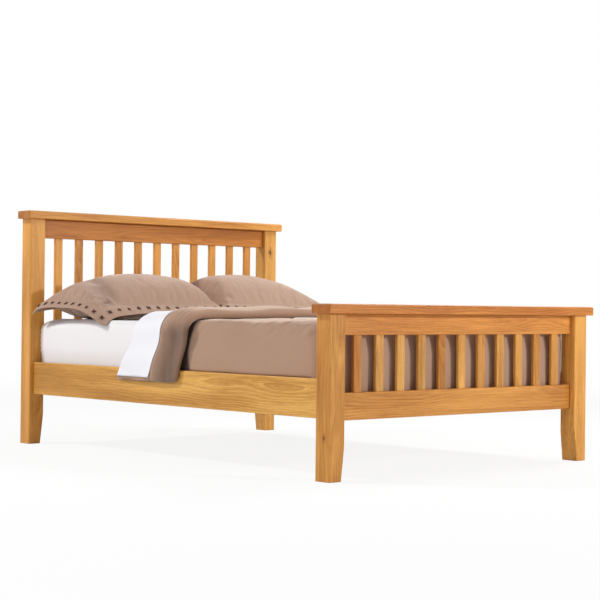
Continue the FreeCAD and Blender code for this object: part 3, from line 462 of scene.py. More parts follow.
class SharedEffects:
    """The shader node groups that several finishes use, each built once."""

    # linear colours of a knot's halo and heart, and of sawn end grain
    knot_halo: Colour = (0.305, 0.0887, 0.0160)
    knot_heart: Colour = (0.0423, 0.0103, 0.0037)
    end_grain: Colour = (0.617, 0.515, 0.434)

    @cached_property
    def grain(self) -> NodeTree:
        """Build the grain of a sawn board, read in the board's own coordinates.

        X runs along the grain. The growth rings are circles round a pith line that wanders, so
        that a face shows arches where it cuts them flat and straight lines where it cuts them
        upright, and an end shows the rings themselves.

        Returns:
            The group's tree.
        """
        wiring, take, end = new_group(
            "sawn_grain", "ShaderNodeTree",
            {SocketKind.VECTOR: "Vector, Half Size, Pith, Knot Place",
             SocketKind.NUMBER: "Seed, Ring Width, Figure, Knot Size",
             SocketKind.COLOUR: "Light, Dark, Far End"}, SURFACE)
        times, plus, less, rise = wiring.times, wiring.plus, wiring.less, wiring.rise
        blend, vector = wiring.blend, wiring.vector
        shifted = vector("ADD", take["Vector"], vector(
            "SCALE", (31.7, 17.3, 7.9), scale=take["Seed"]))

        def stretched(x: float, across: float) -> Socket:
            """Scale the board's place differently along and across the grain."""
            return vector("MULTIPLY", shifted, (x, across, across))

        def fleck(x: float, across: float, *look: float) -> Socket:
            """Return a noise of about 0.5 with that stretch, detail and roughness."""
            return wiring.noise(stretched(x, across), 1.0, *look)

        # a knot pushes the rings aside
        from_knot = vector("MULTIPLY", vector("SUBTRACT", take["Vector"], take["Knot Place"]),
                           (0.55, 1.0, 1.0))
        reach = wiring.math("DIVIDE", vector("LENGTH", from_knot), take["Knot Size"])
        push = times(wiring.math("POWER", math.e, times(times(reach, reach), -0.3)),
                     times(take["Knot Size"], 1.6))

        wander = wiring.node("ShaderNodeTexNoise", {"Vector": stretched(1.3, 4.0), "Scale": 1.0,
                                                    "Detail": 1.5})
        drift = vector("MULTIPLY", vector("SUBTRACT", wander.outputs["Color"], (0.5, 0.5, 0.5)),
                       (0.0, 0.10, 0.10))
        place = vector("ADD", vector("ADD", take["Vector"], drift), take["Pith"])
        radius = vector("LENGTH", vector("MULTIPLY", place, (0.0, 1.0, 1.0)))
        ripple = times(less(fleck(9.0, 60.0, 2.0), 0.5), 0.0035)
        radius = plus(plus(radius, ripple), push)
        turns = wiring.math("DIVIDE", radius, take["Ring Width"])
        phase = wiring.math("FRACT", turns)
        ring = times(rise(phase, 0.1, 0.72), rise(phase, 1.0, 0.84))
        phase = wiring.math("FRACT", times(turns, 2.7))
        finer = times(rise(phase, 0.2, 0.6), rise(phase, 1.0, 0.7))
        ring = plus(times(ring, 0.75), times(finer, 0.35))
        ring = times(ring, rise(fleck(1.1, 14.0, 2.0), 0.3, 0.7, 0.15, 1.15))

        streak = less(fleck(1.5, 26.0, 3.0, 0.6), 0.5)
        fibre = less(fleck(8.0, 240.0, 3.0, 0.7), 0.5)
        cloud = less(fleck(1.8, 4.5, 1.0), 0.5)
        pore = times(rise(fleck(38.0, 950.0, 1.0), 0.6, 0.72), plus(0.3, ring))

        tone = plus(plus(0.60, times(streak, 1.05)), times(fibre, 1.25))
        tone = less(plus(tone, times(cloud, 1.1)), times(ring, take["Figure"]))
        tone = less(tone, times(pore, 0.45), clamp=True)
        colour = blend(tone, take["Dark"], take["Light"])

        # the colour drifts from one end of the board to the other, towards its Far End tint
        far, _, _ = wiring.parts(vector("DIVIDE", take["Vector"], take["Half Size"]))
        colour = blend(rise(far, -0.7, 0.9), colour,
                       blend(1.0, colour, take["Far End"], "MULTIPLY"))

        # the knot's dark heart, ragged at its edge
        ragged = plus(reach, less(fleck(60.0, 120.0, 2.0), 0.5))
        heart = rise(ragged, 0.95, 0.35)
        colour = blend(times(rise(ragged, 2.4, 0.9), 0.45), colour, self.knot_halo)
        colour = blend(times(heart, 0.9), colour, self.knot_heart)

        # painted highlight along the arrises, and sawn ends, by the distance from the board's
        # faces
        from_end, from_side, from_face = wiring.parts(vector(
            "SUBTRACT", take["Half Size"], vector("ABSOLUTE", take["Vector"])))
        edge = rise(plus(from_side, from_face), 0.0085, 0.002)
        # the arrises are lightened as a painted highlight, uneven along their length
        arris_highlight = times(edge, rise(fleck(14.0, 60.0, 2.0), 0.35, 0.65, 0.25, 0.8))
        colour = blend(times(arris_highlight, 0.4), colour, take["Light"])
        colour = blend(times(rise(from_end, 0.0022, 0.0012), 0.75), colour,
                       blend(1.0, colour, self.end_grain, "MULTIPLY"))
        wiring.fill(end, {
            "Colour": colour,
            "Roughness": plus(times(cloud, 0.10), plus(0.42, times(pore, 0.25))),
            "Height": less(times(fibre, 0.35), plus(times(pore, 0.9), times(heart, 1.5)))})
        return wiring.tree

    @cached_property
    def weave(self) -> NodeTree:
        """Build a plain weave with uneven threads, read on the flat cloth in metres.

        Returns:
            The group's tree.
        """
        wiring, take, end = new_group(
            "plain_weave", "ShaderNodeTree",
            {SocketKind.VECTOR: "Flat, Place", SocketKind.NUMBER: "Thread, Crumple",
             SocketKind.COLOUR: "Colour, Shade"}, SURFACE)
        times, plus, less, flat = wiring.times, wiring.plus, wiring.less, take["Flat"]
        count = wiring.math("DIVIDE", math.pi, take["Thread"])
        across, along, _ = wiring.parts(wiring.vector("SCALE", flat, scale=count))
        over = times(wiring.math("SINE", across), wiring.math("SINE", along))
        slubs = [wiring.noise(wiring.vector("MULTIPLY", flat, stretch), 1.0, 2.0)
                 for stretch in ((9.0, 900.0, 1.0), (900.0, 9.0, 1.0))]
        slub = less(plus(*slubs), 1.0)
        cloud = less(wiring.noise(take["Place"], 5.0, 2.0), 0.5)
        crumple = wiring.noise(take["Place"], 34.0, 3.0, 0.55)
        share = plus(plus(0.5, times(slub, 0.8)), times(cloud, 0.5))
        share = plus(share, times(over, 0.22), clamp=True)
        wiring.fill(end, {
            "Colour": wiring.blend(share, take["Shade"], take["Colour"]),
            "Roughness": plus(0.82, times(slub, 0.12)),
            "Height": plus(plus(times(over, 0.12), times(slub, 0.10)),
                           times(crumple, take["Crumple"]))})
        return wiring.tree

    @cached_property
    def dust(self) -> NodeTree:
        """Build small marks and speckle for coated and plated metal.

        Returns:
            The group's tree.
        """
        wiring, take, end = new_group(
            "metal_speckle", "ShaderNodeTree",
            {SocketKind.VECTOR: "Vector", SocketKind.COLOUR: "Colour, Speckle",
             SocketKind.NUMBER: "Roughness"}, SURFACE)
        fine = wiring.noise(take["Vector"], 900.0, 2.0)
        broad = wiring.noise(take["Vector"], 40.0, 3.0)
        share = wiring.times(wiring.rise(fine, 0.45, 0.75), 0.6)
        wiring.fill(end, {
            "Colour": wiring.blend(share, take["Colour"], take["Speckle"]),
            "Roughness": wiring.plus(take["Roughness"],
                                     wiring.times(wiring.less(broad, 0.5), 0.3)),
            "Height": fine})
        return wiring.tree


def emptied(owner: Material | bpy.types.World) -> Wiring:
    """Clear the nodes of a material or a world and return its wiring."""
    owner.use_nodes = True
    owner.node_tree.nodes.clear()
    return Wiring(owner.node_tree)


def new_material(name: str) -> tuple[Material, Wiring, Node]:
    """Start a material that holds only a Principled shader.

    Args:
        name: The material's name.

    Returns:
        The material, its wiring and the shader node.
    """
    material = bpy.data.materials.new(name)
    wiring = emptied(material)
    shader = wiring.node("ShaderNodeBsdfPrincipled")
    wiring.node("ShaderNodeOutputMaterial", {"Surface": shader.outputs[0]})
    return material, wiring, shader


class GrainWay(Enum):
    """The direction that a board's grain runs in, as the turn that brings it to X."""

    ACROSS = (0.0, 0.0, 0.0)
    LENGTHWISE = (0.0, 0.0, -math.pi / 2)
    UPRIGHT = (0.0, math.pi / 2, 0.0)


EVEN = (1.0, 1.0, 1.0)
PLAIN_MOOD = (0.0, 1.0, EVEN)


@dataclass(frozen=True)
class WoodFinish:
    """A wood and its surface.

    Attributes:
        name: Name that its materials start with.
        light: Linear colour of its light parts.
        dark: Linear colour of its dark lines.
        ring_width: Distance between growth rings.
        figure: How strongly the rings show.
        coat: Weight of the lacquer.
        specular: Level of the plain gloss.
    """

    name: str
    light: Colour
    dark: Colour
    ring_width: float
    figure: float
    coat: float
    specular: float

    def board(self, effects: SharedEffects, label: str, low: Vector, high: Vector, way: GrainWay,
              number: int, knot: tuple[Vector, float] | None = None,
              mood: tuple[float, float, Colour] = PLAIN_MOOD) -> Material:
        """Make the material of one board.

        Args:
            effects: The shared groups.
            label: The board's name.
            low: Lowest corner of the board.
            high: Highest corner of the board.
            way: Direction of its grain.
            number: Whole number that picks its figure.
            knot: Place of a knot in the bed's frame and its radius, or None.
            mood: How much darker (above 0) this board is, how yellow (above 1) or orange it
                is, and the tint of its head, right or upper end.

        Returns:
            The material.
        """
        material, wiring, shader = new_material(f"{self.name}_{label}")
        turn = Euler(way.value).to_matrix()
        middle = (low + high) / 2
        half = turn @ ((high - low) / 2)
        place = wiring.node("ShaderNodeTexCoord")
        mapping = wiring.node("ShaderNodeMapping", {
            "Vector": place.outputs["Object"], "Rotation": way.value,
            "Location": tuple(-(turn @ middle))})
        chance = np.random.default_rng(900 + number)
        pith = (0.0, float(chance.uniform(0.03, 0.07)) * (1 if number % 2 else -1),
                float(chance.uniform(-0.05, 0.05)))
        shade = 1.0 - mood[0] + float(chance.uniform(-0.05, 0.05))
        warm = mood[1] + float(chance.uniform(-0.04, 0.04))
        light = tuple(c * shade * k for c, k in zip(self.light, (1.0, warm, warm * warm)))
        dark = tuple(c * shade * k for c, k in zip(self.dark, (1.0, warm, warm * warm)))
        knot_place, knot_size = (9.0, 9.0, 9.0), 0.001
        if knot is not None:
            knot_place, knot_size = tuple(turn @ (knot[0] - middle)), knot[1]
        group = wiring.node("ShaderNodeGroup", {
            "Vector": mapping.outputs[0], "Half Size": tuple(abs(c) for c in half),
            "Seed": number * 0.37, "Pith": pith,
            "Ring Width": self.ring_width * float(chance.uniform(0.8, 1.25)),
            "Figure": self.figure, "Light": light, "Dark": dark, "Knot Place": knot_place,
            "Knot Size": knot_size, "Far End": mood[2]}, node_tree=effects.grain)
        wiring.fill(shader, {
            "Base Color": group.outputs["Colour"], "Roughness": group.outputs["Roughness"],
            "Specular IOR Level": self.specular, "Coat Weight": self.coat,
            "Coat Roughness": 0.28,
            "Normal": wiring.bump(group.outputs["Height"], 0.00035, 0.6)})
        return material


@dataclass(frozen=True)
class ClothFinish:
    """A woven cloth.

    Attributes:
        name: Name of the material.
        colour: Linear colour of the lit threads.
        shade: Linear colour between the threads.
        thread: Distance between threads.
        sheen: Weight of the soft light on its fibres.
        sheen_tint: Linear colour of that light.
        crumple: Depth of the fine creases.
    """

    name: str
    colour: Colour
    shade: Colour
    thread: float
    sheen: float
    sheen_tint: Colour
    crumple: float

    def material(self, effects: SharedEffects) -> Material:
        """Make the cloth's material.

        Args:
            effects: The shared groups.

        Returns:
            The material.
        """
        material, wiring, shader = new_material(self.name)
        flat = wiring.node("ShaderNodeUVMap", uv_map="Cloth")
        place = wiring.node("ShaderNodeTexCoord")
        group = wiring.node("ShaderNodeGroup", {
            "Flat": flat.outputs[0], "Place": place.outputs["Object"], "Thread": self.thread,
            "Colour": self.colour, "Shade": self.shade, "Crumple": self.crumple},
            node_tree=effects.weave)
        # painted shade: the cloth darkens towards dark brown by the number kept on its points,
        # where shade falls
        painted_shade = wiring.node("ShaderNodeAttribute", attribute_name="painted_shade")
        wiring.fill(shader, {
            "Base Color": wiring.blend(wiring.times(painted_shade.outputs["Fac"], 0.85),
                                       group.outputs["Colour"], (0.06, 0.03, 0.02)),
            "Roughness": group.outputs["Roughness"], "Specular IOR Level": 0.18,
            "Sheen Weight": self.sheen, "Sheen Roughness": 0.45, "Sheen Tint": self.sheen_tint,
            "Normal": wiring.bump(group.outputs["Height"], 0.0011, 0.5)})
        return material


@dataclass(frozen=True)
class MetalFinish:
    """A coated or plated metal.

    Attributes:
        name: Name of the material.
        colour: Linear colour.
        speckle: Linear colour of its fine speckle.
        metallic: 1 for bare or plated metal, 0 for a coat of paint.
        roughness: Middle roughness.
        texture: Depth of its surface grain.
    """

    name: str
    colour: Colour
    speckle: Colour
    metallic: float
    roughness: float
    texture: float

    def material(self, effects: SharedEffects) -> Material:
        """Make the metal's material.

        Args:
            effects: The shared groups.

        Returns:
            The material.
        """
        material, wiring, shader = new_material(self.name)
        place = wiring.node("ShaderNodeTexCoord")
        group = wiring.node("ShaderNodeGroup", {
            "Vector": place.outputs["Object"], "Colour": self.colour, "Speckle": self.speckle,
            "Roughness": self.roughness}, node_tree=effects.dust)
        wiring.fill(shader, {
            "Base Color": group.outputs["Colour"], "Roughness": group.outputs["Roughness"],
            "Metallic": self.metallic,
            "Normal": wiring.bump(group.outputs["Height"], self.texture, 0.5)})
        return material


LACQUERED_OAK = WoodFinish("oak", (0.75, 0.355, 0.078), (0.38, 0.135, 0.016), 0.0085, 0.34,
                           0.10, 0.25)
SAWN_PINE = WoodFinish("pine", (0.76, 0.58, 0.35), (0.52, 0.31, 0.13), 0.0055, 0.5, 0.0, 0.25)
TURNED_BEECH = WoodFinish("beech", (0.72, 0.50, 0.32), (0.52, 0.32, 0.19), 0.004, 0.2, 0.0, 0.25)
DUVET_COTTON = ClothFinish("duvet_cotton", (0.44, 0.275, 0.190), (0.36, 0.220, 0.149), 0.00085,
                           0.55, (1.0, 0.86, 0.76), 0.45)
PILLOW_COTTON = ClothFinish("pillow_cotton", (0.43, 0.280, 0.205), (0.35, 0.224, 0.161), 0.00085,
                            0.45, (1.0, 0.88, 0.80), 0.45)
SHEET_COTTON = ClothFinish("white_cotton", (0.86, 0.86, 0.90), (0.80, 0.80, 0.85), 0.0007,
                           0.12, (1.0, 1.0, 1.0), 0.25)
FITTED_COTTON = ClothFinish("white_cover", (0.84, 0.82, 0.83), (0.79, 0.77, 0.78), 0.0007,
                            0.12, (1.0, 1.0, 1.0), 0.25)
STITCH_THREAD = ClothFinish("stitch_thread", (0.085, 0.032, 0.016), (0.045, 0.016, 0.008), 0.0006,
                            0.05, (1.0, 0.9, 0.85), 0.2)
BLACK_STEEL = MetalFinish("black_steel", (0.018, 0.018, 0.019), (0.05, 0.05, 0.052), 0.0, 0.5,
                          0.00008)
ZINC_STEEL = MetalFinish("zinc_steel", (0.60, 0.61, 0.62), (0.72, 0.73, 0.74), 1.0, 0.34, 0.00002)


# ---- the oak frame


# how much darker and how much yellower than the rest single boards are
BOARD_MOODS = (
    ("headboard_top_rail", 0.22, 0.80), ("footboard_cap", 0.09, 0.83),
    ("footboard_top_rail", 0.0, 0.90), ("foot_post_right", -0.20, 1.10),
    ("head_post_right", -0.02, 1.09), ("foot_post_left", 0.05, 0.98),
    ("footboard_slat_01", 0.08, 0.90), ("footboard_slat_05", 0.08, 0.90),
    ("footboard_slat_02", 0.04, 1.14), ("footboard_slat_03", 0.02, 1.12),
    ("footboard_slat_04", 0.03, 1.14), ("footboard_slat_06", 0.0, 1.12),
    ("footboard_slat_07", -0.04, 1.06), ("footboard_slat_08", -0.06, 1.12),
    ("footboard_slat_10", -0.02, 1.08),
)


@dataclass
class OakFrame:
    """The boards and fittings whose solids stay, each with its own finish.

    Attributes:
        nodes: The frame's objects by name.
        effects: The shared shader groups.
    """

    nodes: dict[str, Object]
    effects: SharedEffects

    def way_of(self, name: str) -> GrainWay:
        """Tell the direction of a board's grain from its name."""
        if "post" in name or "board_slat" in name:
            return GrainWay.UPRIGHT
        if name.startswith(("side_rail", "ledger", "centre_beam")):
            return GrainWay.LENGTHWISE
        return GrainWay.ACROSS

    def knots(self) -> dict[str, tuple[Vector, float]]:
        """Place the few knots that show, each by its board and its height.

        Returns:
            Place and radius for each board that has one.
        """
        left_low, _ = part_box("foot_post_left")
        far_low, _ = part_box("head_post_right")
        slat_low, slat_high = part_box("headboard_slat_02")
        return {
            "foot_post_left": (Vector((left_low.x, left_low.y + 0.030, 0.157)), 0.006),
            "head_post_right": (Vector((far_low.x + 0.034, far_low.y, 0.905)), 0.009),
            "headboard_slat_02": (Vector((slat_high.x, slat_low.y, slat_high.z - 0.03)), 0.008),
        }

    def dress(self) -> None:
        """Give every kept board and fitting its material."""
        knots = self.knots()
        moods = {name: (darker, warmer, EVEN) for name, darker, warmer in BOARD_MOODS}
        # the near side rail: lighter and yellower, and darker and more orange towards its head end
        moods["side_rail_left"] = (-0.20, 1.23, (0.75, 0.66, 0.47))
        metal = {"corner_brackets": BLACK_STEEL, "beam_hangers": BLACK_STEEL,
                 "bracket_bolts": ZINC_STEEL, "wood_screws": ZINC_STEEL}
        made = {finish.name: finish.material(self.effects) for finish in metal.values()}
        soft = {"mattress", "duvet", "duvet_turned_back", "top_sheet", "pillow_left",
                "pillow_right"}
        for number, name in enumerate(sorted(set(self.nodes) - soft)):
            node = self.nodes[name]
            if name in metal:
                material = made[metal[name].name]
            else:
                low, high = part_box(name)
                wood = LACQUERED_OAK
                if name.startswith(("base_slat", "ledger", "centre_beam")):
                    wood = SAWN_PINE
                elif name == "wood_dowels":
                    wood = TURNED_BEECH
                material = wood.board(self.effects, name, low, high, self.way_of(name), number,
                                      knots.get(name), moods.get(name, PLAIN_MOOD))
            for slot in node.material_slots:
                slot.material = material
            log.info("dressed %s with %s", name, material.name)


# ---- the mattress


@dataclass
class FittedMattress:
    """The mattress in its fitted sheet.

    Attributes:
        low: Lowest corner of the space it fills.
        high: Highest corner.
        corner: Radius of its upright corners at the head.
        foot_corner: The same at the foot, inside the duvet.
        top_edge: Radius of its top edge.
        low_edge: Radius of its bottom edge.
        swell: How far its sides stand out above the rails.
        wave: Depth of the waves and creases on its sides.
        slip: How far the filling has slipped at the corners of its head.
    """

    low: Vector
    high: Vector
    corner: float = 0.014
    foot_corner: float = 0.078
    top_edge: float = 0.038
    low_edge: float = 0.012
    swell: float = 0.007
    wave: float = 0.0016
    slip: float = 0.013

    def outline(self, inset: float, counts: tuple[int, int, int]) -> Array:
        """Return a closed rounded outline, drawn in by an inset.

        Args:
            inset: Distance inside the mattress's sides.
            counts: Points along a long side, round a corner and along an end.

        Returns:
            Points by 2, the last one equal to the first.
        """
        half = max(self.high.x - inset, 0.0)
        foot, head = self.low.y + inset, self.high.y - inset
        at_foot, at_head = (min(max(r - inset, 0.0015), half) for r in (self.foot_corner,
                                                                      self.corner))
        side, turn, end = counts
        runs = []
        centres = ((-half + at_foot, foot + at_foot, math.pi, at_foot),
                   (half - at_foot, foot + at_foot, 1.5 * math.pi, at_foot),
                   (half - at_head, head - at_head, 0.0, at_head),
                   (-half + at_head, head - at_head, 0.5 * math.pi, at_head))
        for index, (x, y, start, radius) in enumerate(centres):
            angles = start + np.linspace(0.0, math.pi / 2, turn)
            arc = np.stack((x + radius * np.cos(angles), y + radius * np.sin(angles)), axis=-1)
            runs.append(arc)
            nx, ny, nstart, nradius = centres[(index + 1) % 4]
            target = np.array((nx + nradius * math.cos(nstart), ny + nradius * math.sin(nstart)))
            number = end if index % 2 == 0 else side
            share = np.linspace(0.0, 1.0, number + 1)[1:-1, None]
            runs.append(arc[-1] * (1 - share) + target * share)
        ring = np.concatenate(runs)
        return np.concatenate((ring, ring[:1]))

    def levels(self) -> list[tuple[float, float]]:
        """List inset and height from the middle of the underside to the middle of the top."""
        low, high, quarter = self.low.z, self.high.z, math.pi / 2
        return [
            *((inset, low) for inset in np.linspace(self.high.x, self.low_edge, 26)),
            *((self.low_edge * (1 - math.sin(a)), low + self.low_edge * (1 - math.cos(a)))
              for a in np.linspace(0.0, quarter, 6)[1:]),
            *((0.0, z) for z in np.linspace(low + self.low_edge, high - self.top_edge, 22)[1:]),
            *((self.top_edge * (1 - math.cos(a)), high - self.top_edge * (1 - math.sin(a)))
              for a in np.linspace(0.0, quarter, 9)[1:]),
            *((inset, high) for inset in np.linspace(self.top_edge, self.high.x, 40)[1:])]

    def build(self, material: Material) -> Object:
        """Make the mattress and its sheet.

        Args:
            material: The sheet's material.

        Returns:
            The piece.
        """
        counts = (110, 9, 76)
        rows = []
        for inset, z in self.levels():
            ring = self.outline(inset, counts)
            rows.append(np.column_stack((ring, np.full(len(ring), z))))
        points = np.stack(rows)
        x, y, z = np.moveaxis(points, -1, 0)
        middle = (self.low + self.high) / 2
        centre = np.array(middle)
        panel = Panel(points, laid_flat(points, len(rows) // 2, lengths(points, 0)[:, 150]))
        half = np.array((self.high - self.low) / 2)
        outward = panel.normals(lambda p: (p - centre) / half ** 2)
        rise = ease(z, self.low.z + 0.04, self.low.z + 0.10)
        fade = 1.0 - ease(z, self.high.z - 0.004, self.high.z)
        height = np.clip((z - self.low.z - 0.03) / (self.high.z - self.low.z - 0.03), 0, 1)
        swell = self.swell * np.sin(height * math.pi) ** 0.6 * ease(y, 0.11, 0.30)
        # tension lines run from each upright corner, and long shallow waves along the sides
        corner_x = np.maximum(0.0, np.abs(x) - (self.high.x - 0.10)) / 0.10
        corner_y = np.maximum(0.0, np.abs(y - middle.y) - (half[1] - 0.16)) / 0.16
        near_corner = np.clip(corner_x * corner_y * 1.6, 0, 1)
        creases = np.sin((z * 1.6 + np.abs(y - middle.y)) * 150.0
                         + 2.0 * soft_noise(points, 0.09, 5))
        waves = soft_noise(points, (0.30, 0.22, 0.12), 3)
        push = rise * fade * (swell + self.wave * waves + self.wave * creases * near_corner)
        top = ease(z, self.high.z - 0.02, self.high.z)
        push = push + top * (0.0022 * soft_noise(points, (0.2, 0.26, 1.0), 8) - 0.0012)
        panel.points = points + outward * push[..., None]
        # filling has slipped from the corners at the head, so their top edge is softer
        soft = (ease(np.abs(x), self.high.x - 0.085, self.high.x)
                * ease(y, self.high.y - 0.26, self.high.y - 0.02)
                * ease(z, self.high.z - 0.09, self.high.z - 0.01))
        panel.points[..., 2] -= self.slip * soft
        return sew("fitted_mattress", [panel], material)


# ---- the duvet


@dataclass
class DuvetForm:
    """The sizes that the duvet, its turned back end and the top sheet share.

    Attributes:
        half: Half the duvet's width over its sides.
        shoulder: Radius of its shoulders.
        edge_top: Height of its top beside the shoulders.
        crown: How much higher its middle is.
        bed_top: Height of the mattress below it.
    """

    half: float = 0.6973
    shoulder: float = 0.034
    edge_top: float = 0.5730
    crown: float = 0.008
    bed_top: float = 0.5638

    def top(self, x: Array | float) -> Array | float:
        """Return the height of the duvet's top at a distance from the middle."""
        share = np.clip(np.abs(x) / (self.half - self.shoulder), 0.0, 1.0)
        return self.edge_top + self.crown * (1.0 - share ** 2)


@dataclass
class TuckedDuvet:
    """The duvet over the mattress, tucked in above the rails and down behind the footboard.

    Attributes:
        form: Sizes shared with the turned back end.
        foot: Where its foot end's outer face is.
        head: Where its top ends under the turn.
        tuck: Where its sides are drawn in under the turn, halfway up.
        tuck_bow: How far that line bends to the foot at tuck_reach from tuck_middle.
        tuck_middle: Height where it lies nearest to the head.
        tuck_reach: Height above tuck_middle at which it has bent by tuck_bow.
        corner: Radius of its corners at the foot, inside the posts.
        side_low: Height of the side rails' top, which its sides stand on.
        end_low: Height that its foot end hangs down to.
        thickness: Thickness of its sides and end.
        puffs: Depths of its broad and its small puffs.
        crease: Depth of the creases beside its shoulders.
        fold: Depth of the folds at its foot end.
        post_room: How far it may stand out beside the posts.
    """

    form: DuvetForm
    foot: float = -0.9640
    head: float = 0.119
    tuck: float = -0.172
    tuck_bow: float = 0.033
    tuck_middle: float = 0.44
    tuck_reach: float = 0.105
    corner: float = 0.0935
    side_low: float = 0.3683
    end_low: float = 0.3050
    thickness: float = 0.022
    puffs: tuple[float, float] = (0.0050, 0.0020)
    crease: float = 0.0085
    fold: float = 0.0026
    post_room: float = 0.0008

    def outline(self, inset: float, head: float, counts: tuple[int, int, int],
                extra: float) -> Array:
        """Return the open outline from the left side's head end round the foot to the right.

        Args:
            inset: Distance inside the outer faces.
            head: Where the sides end.
            counts: Points along a side, round a corner and along the foot.
            extra: How much less the corner is drawn in than the sides.

        Returns:
            Points by 2.
        """
        half, foot = self.form.half - inset, self.foot + inset
        radius = min(max(self.corner - inset, 0.004) + extra, max(half, 1e-4))
        side, turn, end = counts
        share = np.linspace(0.0, 1.0, side)[:-1, None]
        left = np.array((-half, head)) * (1 - share) + np.array((-half, foot + radius)) * share
        angle = np.linspace(math.pi, 1.5 * math.pi, turn)
        arc = np.stack((-half + radius + radius * np.cos(angle),
                        foot + radius + radius * np.sin(angle)), axis=-1)
        run = np.linspace(-half + radius, 0.0, end)[1:]
        middle = np.stack((run, np.full(len(run), foot)), axis=-1)
        first = np.concatenate((left, arc, middle))
        second = first[:-1][::-1] * np.array((-1.0, 1.0))
        return np.concatenate((first, second))

    def levels(self) -> list[tuple[float, float, float, float, bool]]:
        """List the loops from the middle of the top, round the lower edge, to the inside's middle.

        Returns:
            Inset, height, share of the fall to the lower edge, lift above that edge, and
            whether the loop is on the outside.
        """
        form, thick, quarter = self.form, self.thickness, math.pi / 2
        reach, inner = form.shoulder, max(form.shoulder - thick, 0.004)
        shoulder_low, round_off = form.edge_top - reach, thick / 2
        return [
            *((inset, -1.0, 0.0, 0.0, True)
              for inset in form.half * (1 - np.linspace(0.0, 1.0, 46) ** 0.85) if inset > reach),
            *((reach * (1 - math.sin(a)), form.edge_top - reach * (1 - math.cos(a)), 0.0, 0.0,
               True) for a in np.linspace(0.0, quarter, 9)),
            *((0.0, shoulder_low, fall, round_off, True)
              for fall in np.linspace(0.0, 1.0, 30)[1:]),
            *((round_off * (1 - math.cos(a)), shoulder_low, 1.0, round_off * (1 - math.sin(a)),
               a < 1.0) for a in np.linspace(0.0, math.pi, 9)[1:-1]),
            *((thick, shoulder_low, fall, round_off, False) for fall in np.linspace(1.0, 0.0, 12)),
            *((thick + inner * (1 - math.sin(a)), form.bed_top - inner * (1 - math.cos(a)), 0.0,
               0.0, False) for a in np.linspace(quarter, 0.0, 5)[1:]),
            *((inset, form.bed_top, 0.0, 0.0, False)
              for inset in np.linspace(thick + inner, form.half, 24)[1:])]

    def build(self, material: Material) -> Object:
        """Make the duvet.

        Args:
            material: The cloth.

        Returns:
            The piece.
        """
        form, counts = self.form, (100, 16, 52)
        rows, outer_rows = [], []
        for inset, height, fall, lift, outer in self.levels():
            extra = 0.0 if outer else -0.5 * min(self.thickness, inset)
            ring = self.outline(inset, self.head, counts, extra)
            at_foot = ease(-ring[:, 1], -self.foot - self.corner * 0.9, -self.foot - 0.012)
            low = self.side_low + (self.end_low - self.side_low) * at_foot
            if height < 0.0:
                z = form.top(ring[:, 0])
                z = z - form.crown * 0.6 * ease(-ring[:, 1], -self.foot - 0.28,
                                                -self.foot - 0.01)
            else:
                z = (1 - fall) * height + fall * (low + lift)
                if outer and fall == 0.0:
                    z = np.minimum(z, form.top(ring[:, 0]) + 0.004)
            if outer:
                z = self.under_turn(ring, z, inset)
                # past the tuck line the side is drawn in against the mattress
                past = np.clip((ring[:, 1] - self.tuck_line(z)) / 0.034, 0.0, 1.0)
                draw = 0.0165 * (1.0 - np.sqrt(1.0 - past ** 2)) * (height >= 0.0)
                draw = draw * (1.0 - inset / self.thickness if inset < self.thickness else 0.0)
                ring = ring - np.stack((np.sign(ring[:, 0]) * draw, 0.0 * draw), axis=-1)
            rows.append(np.column_stack((ring, z)))
            outer_rows.append(outer)
        points = np.stack(rows)
        panel = Panel(points, laid_flat(points, 60, lengths(points, 0)[:, 60]))
        outward = panel.normals(lambda p: p - np.array((0.0, -0.4, 0.42)))
        push = self.relief(points) * np.array(outer_rows, float)[:, None]
        panel.points = points + outward * push[..., None]
        half_count = len(rows) // 2
        ends = [bridge(rim[:half_count], rim[::-1][:half_count], 4, slice(0, 2))
                for rim in (panel.points[:, 0], panel.points[:, -1])]
        return sew("tucked_duvet", [panel, *ends], material, self.recess_shade)

    def relief(self, points: Array) -> Array:
        """Return how far the filling, creases and folds stand out at each place.

        Args:
            points: Rows by columns by 3.

        Returns:
            Distances, about 0.
        """
        x, y, z = np.moveaxis(points, -1, 0)
        wide = np.abs(x)
        at_end = ease(-y, -self.foot - 0.05, -self.foot - 0.005)
        top = ease(z, self.form.edge_top - 0.03, self.form.edge_top - 0.004)
        puffs = soft_noise(points, (0.21, 0.26, 0.2), 11) * self.puffs[0]
        puffs += soft_noise(points, (0.08, 0.11, 0.09), 12) * self.puffs[1]
        # slanting creases beside the shoulders
        slant = y + (z - 0.58) * 1.3 - wide * 0.5
        crease = soft_noise(np.stack((slant, y - z, x), axis=-1), (0.022, 0.10, 0.3), 13)
        beside = (ease(wide, 0.54, 0.66) * ease(z, 0.47, 0.56)
                  * np.clip(0.45 + 0.9 * soft_noise(points, (0.2, 0.16, 0.3), 14), 0, 1))
        under_turn = ease(y, -0.24, -0.19)
        push = puffs * (1 - 0.75 * at_end) + self.crease * crease * beside * (1 - at_end)
        push = push * (1.0 - 0.85 * under_turn * top) - 0.0035 * under_turn * top
        # upright folds at the foot end, which keeps clear of the posts
        folds = np.sin(x * 26.0 + 2.2 * soft_noise(points, (0.2, 1.0, 0.35), 15))
        away = 0.014 * ease(z, 0.44, 0.56) * (1 - ease(wide, 0.55, 0.65))
        push = push + at_end * (1 - top) * (self.fold * folds - 0.0015) - at_end * away
        push = np.where(at_end > 0.5, np.minimum(push, 0.0025), push)
        near_post = ease(wide, 0.58, 0.63) * ease(at_end, 0.02, 0.2)
        return push + near_post * (np.clip(push, 0.0, self.post_room) - push)

    def tuck_line(self, z: Array) -> Array:
        """Return where along the bed the sides are drawn in, at each height."""
        height = np.minimum(z, self.tuck_middle + 0.12)
        return self.tuck - self.tuck_bow * ((height - self.tuck_middle) / self.tuck_reach) ** 2

